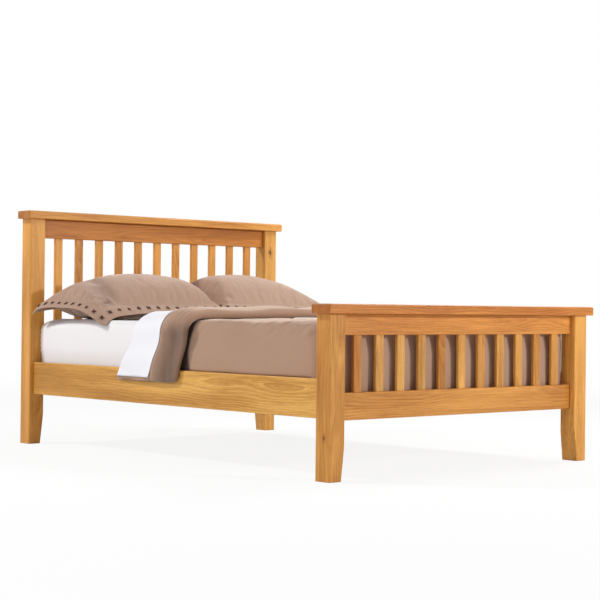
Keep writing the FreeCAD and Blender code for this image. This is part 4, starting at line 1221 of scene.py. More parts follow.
    def recess_shade(self, places: Array) -> Array:
        """Return the painted shade of each point where the side is drawn in beside the turn.

        Args:
            places: Points by 3.

        Returns:
            Numbers from 0 to 1.
        """
        x, y, z = places.T
        beside = ease(np.abs(x), 0.62, 0.66) * ease(-z, -0.578, -0.560)
        # painted shade past the tuck line, beside the turn
        return 0.95 * ease(y - self.tuck_line(z), 0.008, 0.026) * beside

    def under_turn(self, ring: Array, z: Array, inset: float) -> Array:
        """Press the shoulders down where the turned back end lies on them.

        Args:
            ring: Points of one loop in plan.
            z: Their heights.
            inset: How far the loop is drawn in.

        Returns:
            The new heights.
        """
        form, radius = self.form, 0.088
        past = np.clip((np.abs(ring[:, 0]) - (form.half - radius)) / radius, 0.0, 1.0)
        softer = form.edge_top - radius * (1.0 - np.sqrt(1.0 - past ** 2))
        share = ease(ring[:, 1], -0.20, -0.05)
        return z - share * np.maximum(z - softer - 0.001, 0.0) * (inset < 0.2)


# ---- the turn-down


@dataclass
class TurnDown:
    """The duvet's turned back end, and the top sheet that lies over its head part.

    Both follow one line over the bed: up beside the left rail, over the top and down again.

    Attributes:
        form: Sizes shared with the duvet.
        foot: Where the turned end's foot edge lies on the top.
        fold: Where it is folded, at the head.
        hem: Where the top sheet's hem lies on it.
        inside: Distance of its inner face from the middle, beside the rails.
        bend_foot: Radius of its inner face over the shoulder at the foot edge.
        bend_fold: The same at the fold, where the shoulder is pressed softer.
        draw_foot: How far its inner face is drawn in above the rail at the foot edge.
        draw_fold: The same at the fold.
        low: Height that it hangs down to.
        thickness: Thickness of its roll on the top.
        hanging: Thickness of the roll where it hangs.
        foot_round: Radius of its foot edge.
        fold_round: Radius of its fold.
        lean_foot: How far the foot edge leans to the head at the bottom.
        lean_fold: How far the fold does.
        over_duvet: Room between it and the duvet's top.
        sheet_short: How much shorter the top sheet is than the turn, at each end.
        sheet_gap: Room between the top sheet and the turn.
        sheet_cloth: Thickness of the top sheet.
        hem_cloth: How much thicker it is at its hem.
        stations: Steps along its line over the bed.
    """

    form: DuvetForm
    foot: float = -0.207
    fold: float = 0.163
    hem: float = -0.053
    inside: float = 0.7128
    bend_foot: float = 0.052
    bend_fold: float = 0.098
    draw_foot: float = 0.008
    draw_fold: float = 0.016
    low: float = 0.3175
    thickness: float = 0.047
    hanging: float = 0.031
    foot_round: float = 0.015
    fold_round: float = 0.009
    lean_foot: float = 0.090
    lean_fold: float = 0.134
    over_duvet: float = 0.0024
    sheet_short: float = 0.0095
    sheet_gap: float = 0.0010
    sheet_cloth: float = 0.0009
    hem_cloth: float = 0.0008
    stations: int = 230

    def spine(self, bend: float, draw: float) -> tuple[Array, Array]:
        """Return the line that the inner face follows and its run.

        Args:
            bend: Radius over the shoulder.
            draw: How far it is drawn in between the rail and the shoulder.

        Returns:
            Points by 2 in x and z, and the run from the left end.
        """
        start = self.inside - bend
        corner_z = float(self.form.top(start)) + self.over_duvet - bend
        left = [(-self.inside, z) for z in np.linspace(self.low, corner_z, 60)[:-1]]
        for angle in np.linspace(math.pi, math.pi / 2, 26):
            left.append((-start + bend * math.cos(angle), corner_z + bend * math.sin(angle)))
        for x in np.linspace(-start, 0.0, 70)[1:]:
            left.append((x, float(self.form.top(x)) + self.over_duvet))
        side = np.array(left)
        upright = np.clip((side[:, 1] - 0.375) / 0.19, 0.0, 1.0)
        side[:, 0] += draw * np.sin(upright * math.pi) ** 2 * (side[:, 0] < -start)
        line = np.concatenate((side, side[:-1][::-1] * np.array((-1.0, 1.0))))
        run = np.concatenate(([0.0], np.cumsum(np.linalg.norm(np.diff(line, axis=0), axis=1))))
        even = np.linspace(0.0, run[-1], self.stations)
        return np.column_stack([np.interp(even, run, axis) for axis in line.T]), even

    @property
    def foot_line(self) -> tuple[Array, Array]:
        """Give the line of the foot edge and its run."""
        return self.spine(self.bend_foot, self.draw_foot)

    def surface(self, across: Array, depth: Array) -> tuple[Array, Array]:
        """Place a section along the whole line.

        Args:
            across: Where each point of the section lies between the foot edge and the fold.
            depth: How far it stands out of the inner face, stations by points.

        Returns:
            Points, stations by points by 3, and the outward directions of the same size.
        """
        share = (across / (self.fold - self.foot))[None, :, None]
        near, far = self.foot_line[0], self.spine(self.bend_fold, self.draw_fold)[0]
        line = near[:, None, :] * (1 - share) + far[:, None, :] * share
        along = np.gradient(line, axis=0)
        along /= np.linalg.norm(along, axis=-1, keepdims=True)
        out = np.stack((-along[..., 1], 0.0 * along[..., 0], along[..., 0]), axis=-1)
        x = line[..., 0] + out[..., 0] * depth
        z = line[..., 1] + out[..., 2] * depth
        hang = np.clip((0.585 - line[..., 1]) / (0.585 - self.low), 0.0, 1.0)
        lean = self.lean_foot + (self.lean_fold - self.lean_foot) * share[..., 0]
        y = self.foot + across + lean * hang ** (0.82 + 0.25 * share[..., 0] ** 3)
        return np.stack((x, y, z), axis=-1), out

    def fullness(self, share: Array, line: Array) -> Array:
        """Return the thickness: a roll near the foot edge that thins out towards the fold.

        Args:
            share: 0 at the foot edge, 1 at the fold.
            line: Points of the inner face's line, stations by 2.

        Returns:
            Thicknesses.
        """
        roll = 0.54 + 0.46 * np.exp(-((share - 0.24) / 0.25) ** 2)
        middle = 0.25 * ease(share, 0.5, 0.85) * (1 - ease(np.abs(line[:, :1]), 0.38, 0.62))
        height = self.hanging + (self.thickness - self.hanging) * ease(line[:, 1:], 0.49, 0.575)
        return height * (roll + middle)

    def relief(self, places: Array, share: Array) -> Array:
        """Return how far the filling and the cloth's folds stand out at each place.

        Args:
            places: Points of the outer face.
            share: 0 at the foot edge, 1 at the fold.

        Returns:
            Distances, about 0.
        """
        x, _, z = np.moveaxis(places, -1, 0)
        hang = ease(-z, -0.590, -0.52)
        brown = 1 - ease(share, 0.37, 0.45)
        puffs = 0.0055 * soft_noise(places, (0.17, 0.085, 0.15), 21)
        upright = soft_noise(places, (1.0, 0.030, 0.20), 22)
        lateral = soft_noise(places, (0.055, 0.16, 0.055), 23)
        flare = 0.35 + 0.65 * ease(z, 0.36, 0.44)
        ridge = 0.004 * np.exp(-((share - 0.37) / 0.05) ** 2) - 0.015 * flare * np.exp(
            -((share - 0.17) / 0.11) ** 2)
        push = hang * (ridge + 0.0028 * upright) * brown + (1 - hang) * 0.0026 * lateral
        near = np.exp(-((z - 0.598) / 0.024) ** 2) * np.exp(-((np.abs(x) - 0.69) / 0.06) ** 2)
        fan = np.sin(share * 88.0 + z * 70.0 + 2.0 * soft_noise(places, 0.08, 24))
        return push + puffs * (0.35 + 0.65 * brown) + 0.0026 * near * fan * brown

    def build_turn(self, material: Material) -> Object:
        """Make the turned back end of the duvet.

        Args:
            material: The cloth.

        Returns:
            The piece.
        """
        line, run = self.foot_line
        near_end = np.minimum(run, run[-1] - run)[:, None]
        part = np.clip(near_end / 0.030, 0.0, 1.0)
        slim = np.sqrt(part * (2 - part))
        width = self.fold - self.foot
        angle = np.linspace(-math.pi / 2, math.pi / 2, 11)[1:-1]
        inner = np.linspace(self.foot_round, width - self.fold_round, 20)
        outer = np.linspace(width - self.fold_round, self.foot_round, 56)
        across = np.concatenate((inner, width - self.fold_round + self.fold_round
                                 * np.cos(angle), outer,
                                 self.foot_round * (1 - np.cos(angle)), inner[:1]))
        layer = np.concatenate((np.zeros(len(inner)), 0.5 + 0.5 * np.sin(angle),
                                np.ones(len(outer)), 0.5 - 0.5 * np.sin(angle), [0.0]))
        share = across / width
        full = self.fullness(share, line)
        depth = full * (0.5 + (layer - 0.5) * (0.10 + 0.90 * slim))
        points, out = self.surface(across, depth)
        swell = np.clip(2 * layer - 1, 0, 1) * slim
        push = self.relief(points, share) * swell
        points = points + out * push[..., None]
        corner = (1 - slim) * np.clip(1 - share / 0.10, 0, 1)
        points[..., 1] += 0.009 * corner
        points[..., 2] += 0.004 * corner * (np.abs(points[..., 0]) > 0.6)
        panel = Panel(points, laid_flat(points, len(run) // 2, run))
        count = len(across) - 1
        caps = [bridge(rim[:count // 2], rim[::-1][:count // 2], 3, slice(1, 3))
                for rim in (points[0, :count], points[-1, :count])]
        return sew("turned_back_duvet", [panel, *caps], material, self.shade)

    def shade(self, places: Array) -> Array:
        """Return the painted shade of each point: a narrow line beside the sheet's hem, and the
        hanging valley.

        Args:
            places: Points by 3.

        Returns:
            Numbers from 0 to 1.
        """
        line, _ = self.foot_line
        width, hem = self.fold - self.foot, self.hem - self.foot
        mark = np.zeros(len(places))
        # painted shade: a narrow dark line just beside the sheet's hem, and a broad darkening in
        # the valley of the hanging part
        for across, reach, depth in ((hem - 0.0015, 0.0028, 0.9), (0.14 * width, 0.078, 0.86)):
            middle, _ = self.surface(np.array((across,)), self.fullness(
                np.array(((across / width,),)), line))
            middle = middle[:, 0]
            middle = middle[middle[:, 2] > self.low - 0.01]
            near = np.empty(len(places))
            for start in range(0, len(places), 2000):
                part = places[start:start + 2000, None, :]
                gap = np.linalg.norm((part - middle[None])[..., [0, 2]], axis=-1)
                side = part[:, 0, 1] - middle[np.argmin(gap, axis=1), 1]
                near[start:start + 2000] = np.exp(-(side / reach) ** 2) * (gap.min(axis=1) < 0.03)
            hanging = ease(-places[:, 2], -0.60, -0.51) if reach > 0.01 else 1.0
            mark = np.maximum(mark, near * depth * hanging)
        return mark

    def build_sheet(self, material: Material) -> tuple[Object, float]:
        """Make the top sheet that is folded over the turn.

        Args:
            material: The cloth.

        Returns:
            The piece and the length of its run over the bed.
        """
        line, run = self.foot_line
        keep = (run > self.sheet_short) & (run < run[-1] - self.sheet_short)
        width = self.fold - self.foot
        start = self.hem - self.foot
        outer = np.linspace(start, width - self.fold_round, 34)
        angle = np.linspace(math.pi / 2, -math.pi / 2, 13)[1:]
        under = np.linspace(width - self.fold_round, width - self.fold_round - 0.020, 4)[1:]
        across = np.concatenate((outer, width - self.fold_round + self.fold_round
                                 * np.cos(angle), under))
        layer = np.concatenate((np.ones(len(outer)), 0.5 + 0.5 * np.sin(angle),
                                np.zeros(len(under))))
        side = 2 * layer - 1
        round_fold = np.concatenate((np.zeros(len(outer)), np.cos(angle),
                                     np.zeros(len(under))))
        share = across / width
        full = self.fullness(share, line)
        near_end = np.minimum(run, run[-1] - run)[:, None]
        base, _ = self.surface(across, full * layer)
        push = self.relief(base, share) * np.clip(side, 0, 1)
        push = push * ease(near_end, -0.004, 0.03)
        wave = 0.0030 * (1 + np.sin(share * 16.0 + 0.4)) * (
            1 - ease(near_end, 0.0, 0.06)) * np.clip(side, 0, 1)
        layers = []
        for cover in (0.0, 1.0):
            thick = self.sheet_gap + cover * (self.sheet_cloth + self.hem_cloth * (
                1 - ease(across - start, 0.022, 0.0235)))
            depth = full * layer + side * thick + push + wave
            points, _ = self.surface(across, depth)
            points[..., 1] += round_fold * thick
            layers.append(points[keep])
        lower, upper = layers
        flat = laid_flat(upper, len(upper) // 2, run[keep])
        panels = [Panel(lower, flat), Panel(upper, flat)]
        for index in (0, -1):
            panels.append(bridge(lower[index], upper[index], 2, slice(1, 3)))
            panels.append(bridge(lower[:, index], upper[:, index], 2, slice(1, 3)))
        piece = sew("folded_top_sheet", panels, material)
        piece["flat_width"] = float(flat[0, -1, 0])
        return piece, float(run[keep][-1] - run[keep][0])


# ---- the pillows


# the corners of a pillow: front left, front right, back left, back right
CORNERS = ((-1, -1), (1, -1), (-1, 1), (1, 1))
# how the cover behaves while it is blown up
COVER_CLOTH = {"quality": 5, "mass": 0.25, "tension_stiffness": 12.0,
               "compression_stiffness": 12.0, "shear_stiffness": 6.0, "bending_stiffness": 0.12,
               "use_pressure": True, "uniform_pressure_force": 4.0, "shrink_min": -0.022,
               "vertex_group_mass": "seam"}


@dataclass
class Pillow:
    """A filled pillow with a flat stitched border.

    Attributes:
        name: Name of the piece.
        x: Middle across the bed.
        y: Middle along the bed.
        droop: How far each corner hangs, in the order of CORNERS.
        seed: Whole number that picks its folds.
        dent: Share of the dent near its outer end.
        peak: Where it is highest, from -1 at its inner end to 1 at its outer end.
        outer_slope: Two powers that round its slope to the outer end.
        half_length: Half its size across the bed, with the border.
        half_depth: Half its size along the bed.
        border: Width of the flat border.
        border_reach: How far the sloping border reaches in plan.
        border_fall: How far it falls on that way.
        draw: How much its sides pull in between the corners.
        seam_z: Height of its seam.
        crown: Height of its filling above the seam.
        belly: Depth of its filling below the seam.
        rest_z: Height of what it lies on.
        lean: Rise of the seam towards the head.
        cover: Half the thickness of the border's cloth.
        frames: Steps of the cloth simulation.
        cap: How far the simulation may move a point.
    """

    name: str
    x: float
    y: float
    droop: tuple[float, float, float, float]
    seed: int
    dent: float
    peak: float
    outer_slope: tuple[float, float]
    half_length: float = 0.364
    half_depth: float = 0.249
    border: float = 0.050
    border_reach: float = 0.038
    border_fall: float = 0.032
    draw: float = 0.030
    seam_z: float = 0.638
    crown: float = 0.112
    belly: float = 0.076
    rest_z: float = 0.5645
    lean: float = 0.030
    cover: float = 0.0016
    frames: int = 20
    cap: float = 0.022

    @property
    def outer_side(self) -> int:
        """Tell which end of the pillow faces the bed's side, -1 or 1."""
        return -1 if self.x < 0 else 1

    def plan(self, u: Array, v: Array, out: Array | float) -> Array:
        """Return where a point of the pillow lies in plan, from its middle.

        Args:
            u: -1 to 1 across the filling.
            v: -1 to 1 along it.
            out: Distance outside the seam, on the border.

        Returns:
            Points by 2.
        """
        a, b = self.half_length - self.border_reach, self.half_depth - self.border_reach
        reach = out * self.border_reach / self.border
        draw = self.draw * (1 - 0.5 * out / self.border)
        x = (a + reach) * u * (1 - draw * (1 - v ** 2))
        y = (b + reach) * v * (1 - 1.2 * draw * (1 - u ** 2))
        place = np.stack((x, y), axis=-1)
        # a hanging corner swings in under itself
        for (sx, sy), depth in zip(CORNERS, self.droop):
            near = self.nearness(place, sx, sy, 0.06, 0.05)
            swing = np.array((-0.50 * sx if sy < 0 else -0.15 * sx, 0.16 * sy))
            place = place + near[..., None] * swing * depth
        return place

    def nearness(self, plan: Array, sx: int, sy: int, reach_x: float,
                 reach_y: float) -> Array:
        """Return 1 at a corner's tip, fading away from it over two reaches."""
        dx = np.clip(self.half_length - sx * plan[..., 0], 0, None)
        dy = np.clip(self.half_depth - sy * plan[..., 1], 0, None)
        return np.exp(-dx / reach_x) * np.exp(-dy / reach_y)

    def seam_height(self, plan: Array) -> Array:
        """Return the height of the seam, or of the border's root, at a place in plan."""
        z = (self.seam_z + self.lean * plan[..., 1]
             + 0.010 * (plan[..., 0] / self.half_length) ** 2)
        for (sx, sy), depth in zip(CORNERS, self.droop):
            z = z - depth * self.nearness(plan, sx, sy, 0.095, 0.055)
        return z

    def border_point(self, u: Array, v: Array, out: float) -> Array:
        """Return the middle of the border's cloth at a distance outside the seam."""
        plan = self.plan(u, v, out)
        share = out / self.border
        z = self.seam_height(plan) - self.border_fall * share * (0.65 + 0.35 * share)
        place = self.world(plan, z)
        wave = soft_noise(place, (0.075, 0.075, 1.0), self.seed + 9)
        place[..., 2] += 0.0045 * share * wave
        return place

    def world(self, plan: Array, z: Array) -> Array:
        """Put a place in plan and its height into the bed's frame."""
        return np.stack((plan[..., 0] + self.x, plan[..., 1] + self.y, z), axis=-1)

    def profile(self, u: Array, v: Array) -> Array:
        """Return the share of the full height at a place of the filling."""
        side = u * self.outer_side
        out = np.clip((side - self.peak) / (1.0 - self.peak), 0.0, 1.0)
        inwards = np.clip((self.peak - side) / (1.0 + self.peak), 0.0, 1.0)
        power, root = self.outer_slope
        across = (1 - out ** power) ** root * np.sqrt(1 - inwards ** 4.6)
        along = np.clip(1 - np.abs(v) ** 2.6, 0, 1) ** 0.62
        return across * along

    def faces(self) -> list[Panel]:
        """Make the grids of the filling and the border, above and below.

        Returns:
            Panels that meet at the seam and at the border's edge.
        """
        # rows lie closer towards the seam
        even = 0.45
        u, v = (even * step + (1 - even) * np.sin(step * math.pi / 2)
                for step in (np.linspace(-1, 1, 101), np.linspace(-1, 1, 71)))
        v, u = np.meshgrid(v, u, indexing="ij")
        plan = self.plan(u, v, 0.0)
        seam, share = self.seam_height(plan), self.profile(u, v)
        top = seam + self.cover + self.crown * share
        depth = seam - self.cover - self.belly * share ** 0.75
        soft = 0.010
        lift = np.log1p(np.exp(np.clip((depth - self.rest_z) / soft, -30, 30))) * soft
        under = np.minimum(seam - self.cover, self.rest_z + lift)
        upper = Panel(self.world(plan, top), plan.copy())
        lower = Panel(self.world(plan, under), plan + 3.0)
        self.crease(upper, u, v, 0.8)
        self.crease(lower, u, v, 1.1)
        self.fill_out((upper, lower))
        lower.points[..., 2] = np.maximum(lower.points[..., 2], self.rest_z - 0.0004)
        edge_u, edge_v = (np.concatenate((w[0], w[1:, -1], w[-1, :-1][::-1], w[:-1, 0][::-1]))
                          for w in (u, v))
        full = self.border
        steps = ((0.0, 1.0), (0.003, 0.7), (0.008, 1.0), (0.016, 1.0), (0.026, 1.0),
                 (0.038, 1.0), (full - 0.0025, 1.0), (full - 0.0006, 0.65))
        rows = []
        for out, layer in (*steps, (full, 0.0), *((out, -layer) for out, layer in steps[::-1])):
            place = self.border_point(edge_u, edge_v, out)
            place[..., 2] += self.cover * layer
            rows.append(place)
        border = np.stack(rows)
        # laid beside the filling's own flat places
        flat_border = laid_flat(border, 4, lengths(border, 0)[:, 10] + 5.0)
        return [upper, lower, Panel(border, flat_border)]

    def fill_out(self, panels: Sequence[Panel]) -> None:
        """Let a cloth simulation blow up the cover, whose seam is held, so that it folds.

        Args:
            panels: The filling's panels, changed in place.
        """
        centre = np.array((self.x, self.y, self.seam_z))
        corners, faces, held, count = [], [], [], 0
        for panel in panels:
            rows, columns = panel.points.shape[:2]
            cells = panel.cells
            a, b, c = (panel.points.reshape(-1, 3)[cells[:, k]] for k in (0, 1, 2))
            facing = np.sum(np.cross(b - a, c - b) * (a - centre))
            faces.append((cells if facing > 0 else cells[:, ::-1]) + count)
            corners.append(panel.points.reshape(-1, 3))
            number = np.arange(rows * columns).reshape(rows, columns)
            held.append(count + np.unique(np.concatenate(
                (number[0], number[-1], number[:, 0], number[:, -1]))))
            count += rows * columns
        start = np.concatenate(corners)
        mesh = bpy.data.meshes.new("filling")
        mesh.from_pydata(start.tolist(), [], np.concatenate(faces).tolist())
        cover, scene = put("filling", mesh), bpy.context.scene
        group = cover.vertex_groups.new(name="seam")
        group.add(np.concatenate(held).tolist(), 1.0, "REPLACE")
        cloth = cover.modifiers.new("filling", "CLOTH")
        for rule, value in COVER_CLOTH.items():
            setattr(cloth.settings, rule, value)
        cloth.settings.effector_weights.gravity = 0.0
        cloth.point_cache.frame_start, cloth.point_cache.frame_end = 1, self.frames
        for frame in range(1, self.frames + 1):
            scene.frame_set(frame)
        graph = bpy.context.evaluated_depsgraph_get()
        moved = places_of(cover.evaluated_get(graph).data) - start
        far = np.maximum(np.linalg.norm(moved, axis=1, keepdims=True), 1e-9)
        log.info("%s: cloth moved %.1f mm at most", self.name, float(far.max()) * 1000)
        moved *= np.minimum(far, self.cap) / far
        bpy.data.objects.remove(cover)
        bpy.data.meshes.remove(mesh)
        scene.frame_set(1)
        for panel, shift in zip(panels, np.split(moved, [len(corners[0])])):
            panel.points = panel.points + shift.reshape(panel.points.shape)

    def beside_dent(self, u: Array, v: Array) -> Array:
        """Return how far a place of the filling lies outside the line of the dent."""
        return u * self.outer_side - 0.64 + 0.16 * v

    def crease(self, panel: Panel, u: Array, v: Array, strength: float) -> None:
        """Press the folds of the cover into a panel of the filling.

        Args:
            panel: The panel, changed in place.
            u: -1 to 1 across.
            v: -1 to 1 along.
            strength: Share of the full depth.
        """
        centre = np.array((self.x, self.y, self.seam_z))
        outward = panel.normals(lambda p: p - centre)
        away, ahead = np.clip(1 - np.abs(u), 0, 1), np.clip(1 - np.abs(v), 0, 1)
        place = panel.points
        corner = np.clip(1.5 - away - ahead, 0, 1) ** 2
        # folds that run in from the seam, stronger at the corners
        in_front = np.exp(-ahead / 0.26) * (0.55 + 1.3 * corner)
        at_side = np.exp(-away / 0.17) * (0.55 + 1.3 * corner)
        front = soft_noise(place, (0.017, 0.12, 0.12), self.seed)
        side = soft_noise(place, (0.12, 0.017, 0.12), self.seed + 1)
        broad = soft_noise(place, (0.13, 0.10, 0.12), self.seed + 2)
        fine = soft_noise(place, (0.045, 0.035, 0.05), self.seed + 3)
        push = strength * (0.0015 * front * in_front + 0.0020 * side * at_side
                           + 0.0050 * broad + 0.0012 * fine)
        # a hollow with a ridge beside it, near the end that faces the bed's side
        line = self.beside_dent(u, v)
        push += (0.0020 * np.exp(-((line - 0.24) / 0.10) ** 2)
                 - 0.0230 * np.exp(-(line / 0.15) ** 2)) * ease(-v, -0.7, 0.1) * self.dent
        push = push * ease(np.minimum(away, ahead), 0.0, 0.04)
        panel.points = place + outward * push[..., None]

    def build(self, material: Material) -> Object:
        """Make the pillow.

        Args:
            material: The cloth.

        Returns:
            The piece.
        """
        return sew(self.name, self.faces(), material, self.shade)

    def shade(self, places: Array) -> Array:
        """Return the painted shade of each point: under the pillow, and in the hollow of its end.

        Args:
            places: Points by 3.

        Returns:
            Numbers from 0 to 1.
        """
        plan = places[:, :2] - np.array((self.x, self.y))
        u = plan[:, 0] / (self.half_length - self.border_reach)
        v = plan[:, 1] / (self.half_depth - self.border_reach)
        inside = ease(1 - np.maximum(np.abs(u), np.abs(v)), -0.02, 0.06)
        above = places[:, 2] - self.seam_height(plan)
        # painted shade in the hollow near the outer end, and under the pillow, uneven along its
        # gathers
        hollow = np.exp(-(self.beside_dent(u, v) / 0.13) ** 2) * ease(-v, -0.6, 0.0) * self.dent
        gather_shade = 0.32 + 0.12 * np.sin(places[:, 1] * 330.0 + places[:, 0] * 150.0)
        return inside * np.where(above > 0, 0.44 * hollow, gather_shade * ease(-above, 0.0, 0.02))

    def stitch_path(self) -> tuple[Array, Array]:
        """Return the line of the stitches on the border and the direction it faces."""
        step = np.linspace(-1, 1, 80)
        one = np.ones_like(step)
        u = np.concatenate((step, one, step[::-1], -one))
        v = np.concatenate((-one, step, one, step[::-1]))
        line = self.border_point(u, v, 0.026)
        towards = self.border_point(u, v, 0.018) - self.border_point(u, v, 0.034)
        lift = np.cross(np.gradient(line, axis=0), towards)
        lift *= np.where(lift[:, 2:] < 0, -1.0, 1.0)
        lift /= np.maximum(np.linalg.norm(lift, axis=1, keepdims=True), 1e-9)
        return line + lift * (self.cover + 0.0006), lift


# ---- cross stitches


@dataclass
class CrossStitches:
    """Dark cross stitches set along a line, made with geometry nodes.

    Attributes:
        spacing: Distance between stitches.
        arm: Length of a thread.
        thread: Radius of the thread.
        seed: Whole number for their small irregularity.
    """

    spacing: float = 0.052
    arm: float = 0.020
    thread: float = 0.0019
    seed: int = 4

    def tree(self) -> NodeTree:
        """Build the node tree that sets crosses along a line.

        Returns:
            The tree, with named inputs for spacing, arm, thread, seed and finish.
        """
        found = bpy.data.node_groups.get("cross_stitches")
        if found is not None:
            return found
        wiring, take, end = new_group(
            "cross_stitches", "GeometryNodeTree",
            {SocketKind.SHAPE: "Line", SocketKind.NUMBER: "Spacing, Arm, Thread",
             SocketKind.WHOLE: "Seed", SocketKind.FINISH: "Finish"},
            {"Geometry": SocketKind.SHAPE})
        node = wiring.node

        def strand(turn: float, lift: float) -> Socket:
            """Make one thread of the cross, turned in its plane."""
            half = wiring.times(take["Arm"], 0.5)
            curve = node("GeometryNodeCurveQuadraticBezier", {
                "Resolution": 6, "Start": wiring.joined(wiring.times(half, -1.0)),
                "Middle": wiring.joined(z=lift), "End": wiring.joined(half)})
            ring = node("GeometryNodeCurvePrimitiveCircle", {"Resolution": 6,
                                                             "Radius": take["Thread"]})
            tube = node("GeometryNodeCurveToMesh", {
                "Curve": curve.outputs[0], "Profile Curve": ring.outputs[0], "Fill Caps": True})
            return node("GeometryNodeTransform", {"Geometry": tube.outputs[0],
                                                  "Rotation": (0.0, 0.0, turn)}).outputs[0]

        cross = node("GeometryNodeJoinGeometry")
        for turn, lift in ((math.radians(38), 0.003), (math.radians(-42), 0.0052)):
            wiring.feed(cross.inputs[0], strand(turn, lift))
        to_curve = node("GeometryNodeMeshToCurve", {0: take["Line"]})
        even = node("GeometryNodeResampleCurve", {"Curve": to_curve.outputs[0],
                                                  "Length": take["Spacing"]}, mode="LENGTH")
        points = node("GeometryNodeCurveToPoints", {0: even.outputs[0]}, mode="EVALUATED")
        lift = node("GeometryNodeInputNamedAttribute", {"Name": "lift"},
                    data_type="FLOAT_VECTOR")
        up = node("FunctionNodeAlignRotationToVector", {"Vector": lift.outputs["Attribute"]},
                  axis="Z")
        round_up = node("FunctionNodeAlignRotationToVector", {
            "Rotation": up.outputs[0], "Vector": points.outputs["Tangent"]},
            axis="X", pivot_axis="Z")
        wobble = node("FunctionNodeRandomValue", {2: -0.35, 3: 0.35, "Seed": take["Seed"]},
                      data_type="FLOAT")
        twist = node("FunctionNodeEulerToRotation", {0: wiring.joined(z=wobble.outputs[1])})
        turned = node("FunctionNodeRotateRotation", {0: round_up.outputs[0],
                                                     1: twist.outputs[0]},
                      rotation_space="LOCAL")
        size = node("FunctionNodeRandomValue", {
            2: 0.8, 3: 1.12, "Seed": wiring.plus(take["Seed"], 7.0)}, data_type="FLOAT")
        placed = node("GeometryNodeInstanceOnPoints", {
            "Points": points.outputs[0], "Instance": cross.outputs[0],
            "Rotation": turned.outputs[0], "Scale": size.outputs[1]})
        real = node("GeometryNodeRealizeInstances", {0: placed.outputs[0]})
        finish = node("GeometryNodeSetMaterial", {"Geometry": real.outputs[0],
                                                  "Material": take["Finish"]})
        wiring.feed(end.inputs["Geometry"], finish.outputs[0])
        return wiring.tree

    def build(self, name: str, line: Array, lift: Array,
              material: Material) -> Object:
        """Set the stitches along a line.

        Args:
            name: Name of the piece.
            line: Points of the line.
            lift: Direction that the cloth faces at each point.
            material: The thread.

        Returns:
            The piece, a plain mesh.
        """
        mesh = bpy.data.meshes.new(name)
        mesh.from_pydata(line.tolist(), list(itertools.pairwise(range(len(line)))), [])
        attribute = mesh.attributes.new("lift", "FLOAT_VECTOR", "POINT")
        attribute.data.foreach_set("vector", lift.astype(np.float32).ravel())
        piece, tree = put(name, mesh), self.tree()
        modifier = piece.modifiers.new("stitches", "NODES")
        modifier.node_group = tree
        values = {"Spacing": self.spacing, "Arm": self.arm, "Thread": self.thread,
                  "Seed": self.seed, "Finish": material}
        for socket in tree.interface.items_tree:
            if socket.in_out == "INPUT" and socket.name in values:
                modifier[socket.identifier] = values[socket.name]
        plain_mesh(piece)
        mesh = piece.data
        corners = np.zeros(len(mesh.loops), np.int32)
        mesh.loops.foreach_get("vertex_index", corners)
        layer = mesh.uv_layers.new(name="Cloth")
        layer.data.foreach_set("uv", places_of(mesh)[corners, :2].ravel())
        mesh.shade_smooth()
        mesh.materials.clear()
        mesh.materials.append(material)
        return piece


# ---- camera, studio


@dataclass(frozen=True)
class PortraitCamera:
    """The camera at the photograph's place.

    Attributes:
        place: Where it stands.
        yaw: Turn from the bed's length towards its right side, in degrees.
        pitch: Tilt upwards, in degrees.
        roll: Turn about its own line of sight, in degrees.
        focal: Focal length in widths of the picture.
    """

    place: Place = (-4.5824, -5.1741, 0.6195)
    yaw: float = 41.757
    pitch: float = 0.322
    roll: float = 0.598
    focal: float = 1587.83 / 600.0

    def build(self) -> Object:
        """Make the camera the scene's own and return it."""
        yaw, pitch, roll = (math.radians(v) for v in (self.yaw, self.pitch, self.roll))
        ahead = Vector((math.sin(yaw), math.cos(yaw), 0.0))
        right = Vector((math.cos(yaw), -math.sin(yaw), 0.0))
        up = Vector((0.0, 0.0, 1.0))
        sight = ahead * math.cos(pitch) + up * math.sin(pitch)
        above = up * math.cos(pitch) - ahead * math.sin(pitch)
        side = right * math.cos(roll) + above * math.sin(roll)
        top = above * math.cos(roll) - right * math.sin(roll)
        turn = Matrix((side, top, -sight)).transposed().to_4x4()
        data = bpy.data.cameras.new("portrait")
        data.sensor_width = 36.0
        data.lens = self.focal * data.sensor_width
        data.clip_start, data.clip_end = 0.05, 200.0
        camera = bpy.context.scene.camera = put("portrait", data)
        camera.matrix_world = Matrix.Translation(self.place) @ turn
        return camera


@dataclass(frozen=True)
class SoftBox:
    """A soft area light.

    Attributes:
        name: Its name.
        place: Where it hangs.
        aim: The point it faces.
        size: Length of its sides.
        level: Light that a surface at the aim gets from it, where 1 shows a colour as written.
    """

    name: str
    place: Place
    aim: Place
    size: float
    level: float

    def build(self) -> Object:
        """Hang the light and return it."""
        away = Vector(self.place) - Vector(self.aim)
        data = bpy.data.lights.new(self.name, "AREA")
        data.shape = "SQUARE"
        data.size = self.size
        data.energy = self.level * math.pi ** 2 * away.length ** 2
        light = put(self.name, data)
        light.rotation_mode = "QUATERNION"
        light.rotation_quaternion = away.to_track_quat("Z", "Y")
        light.location = self.place
        return light


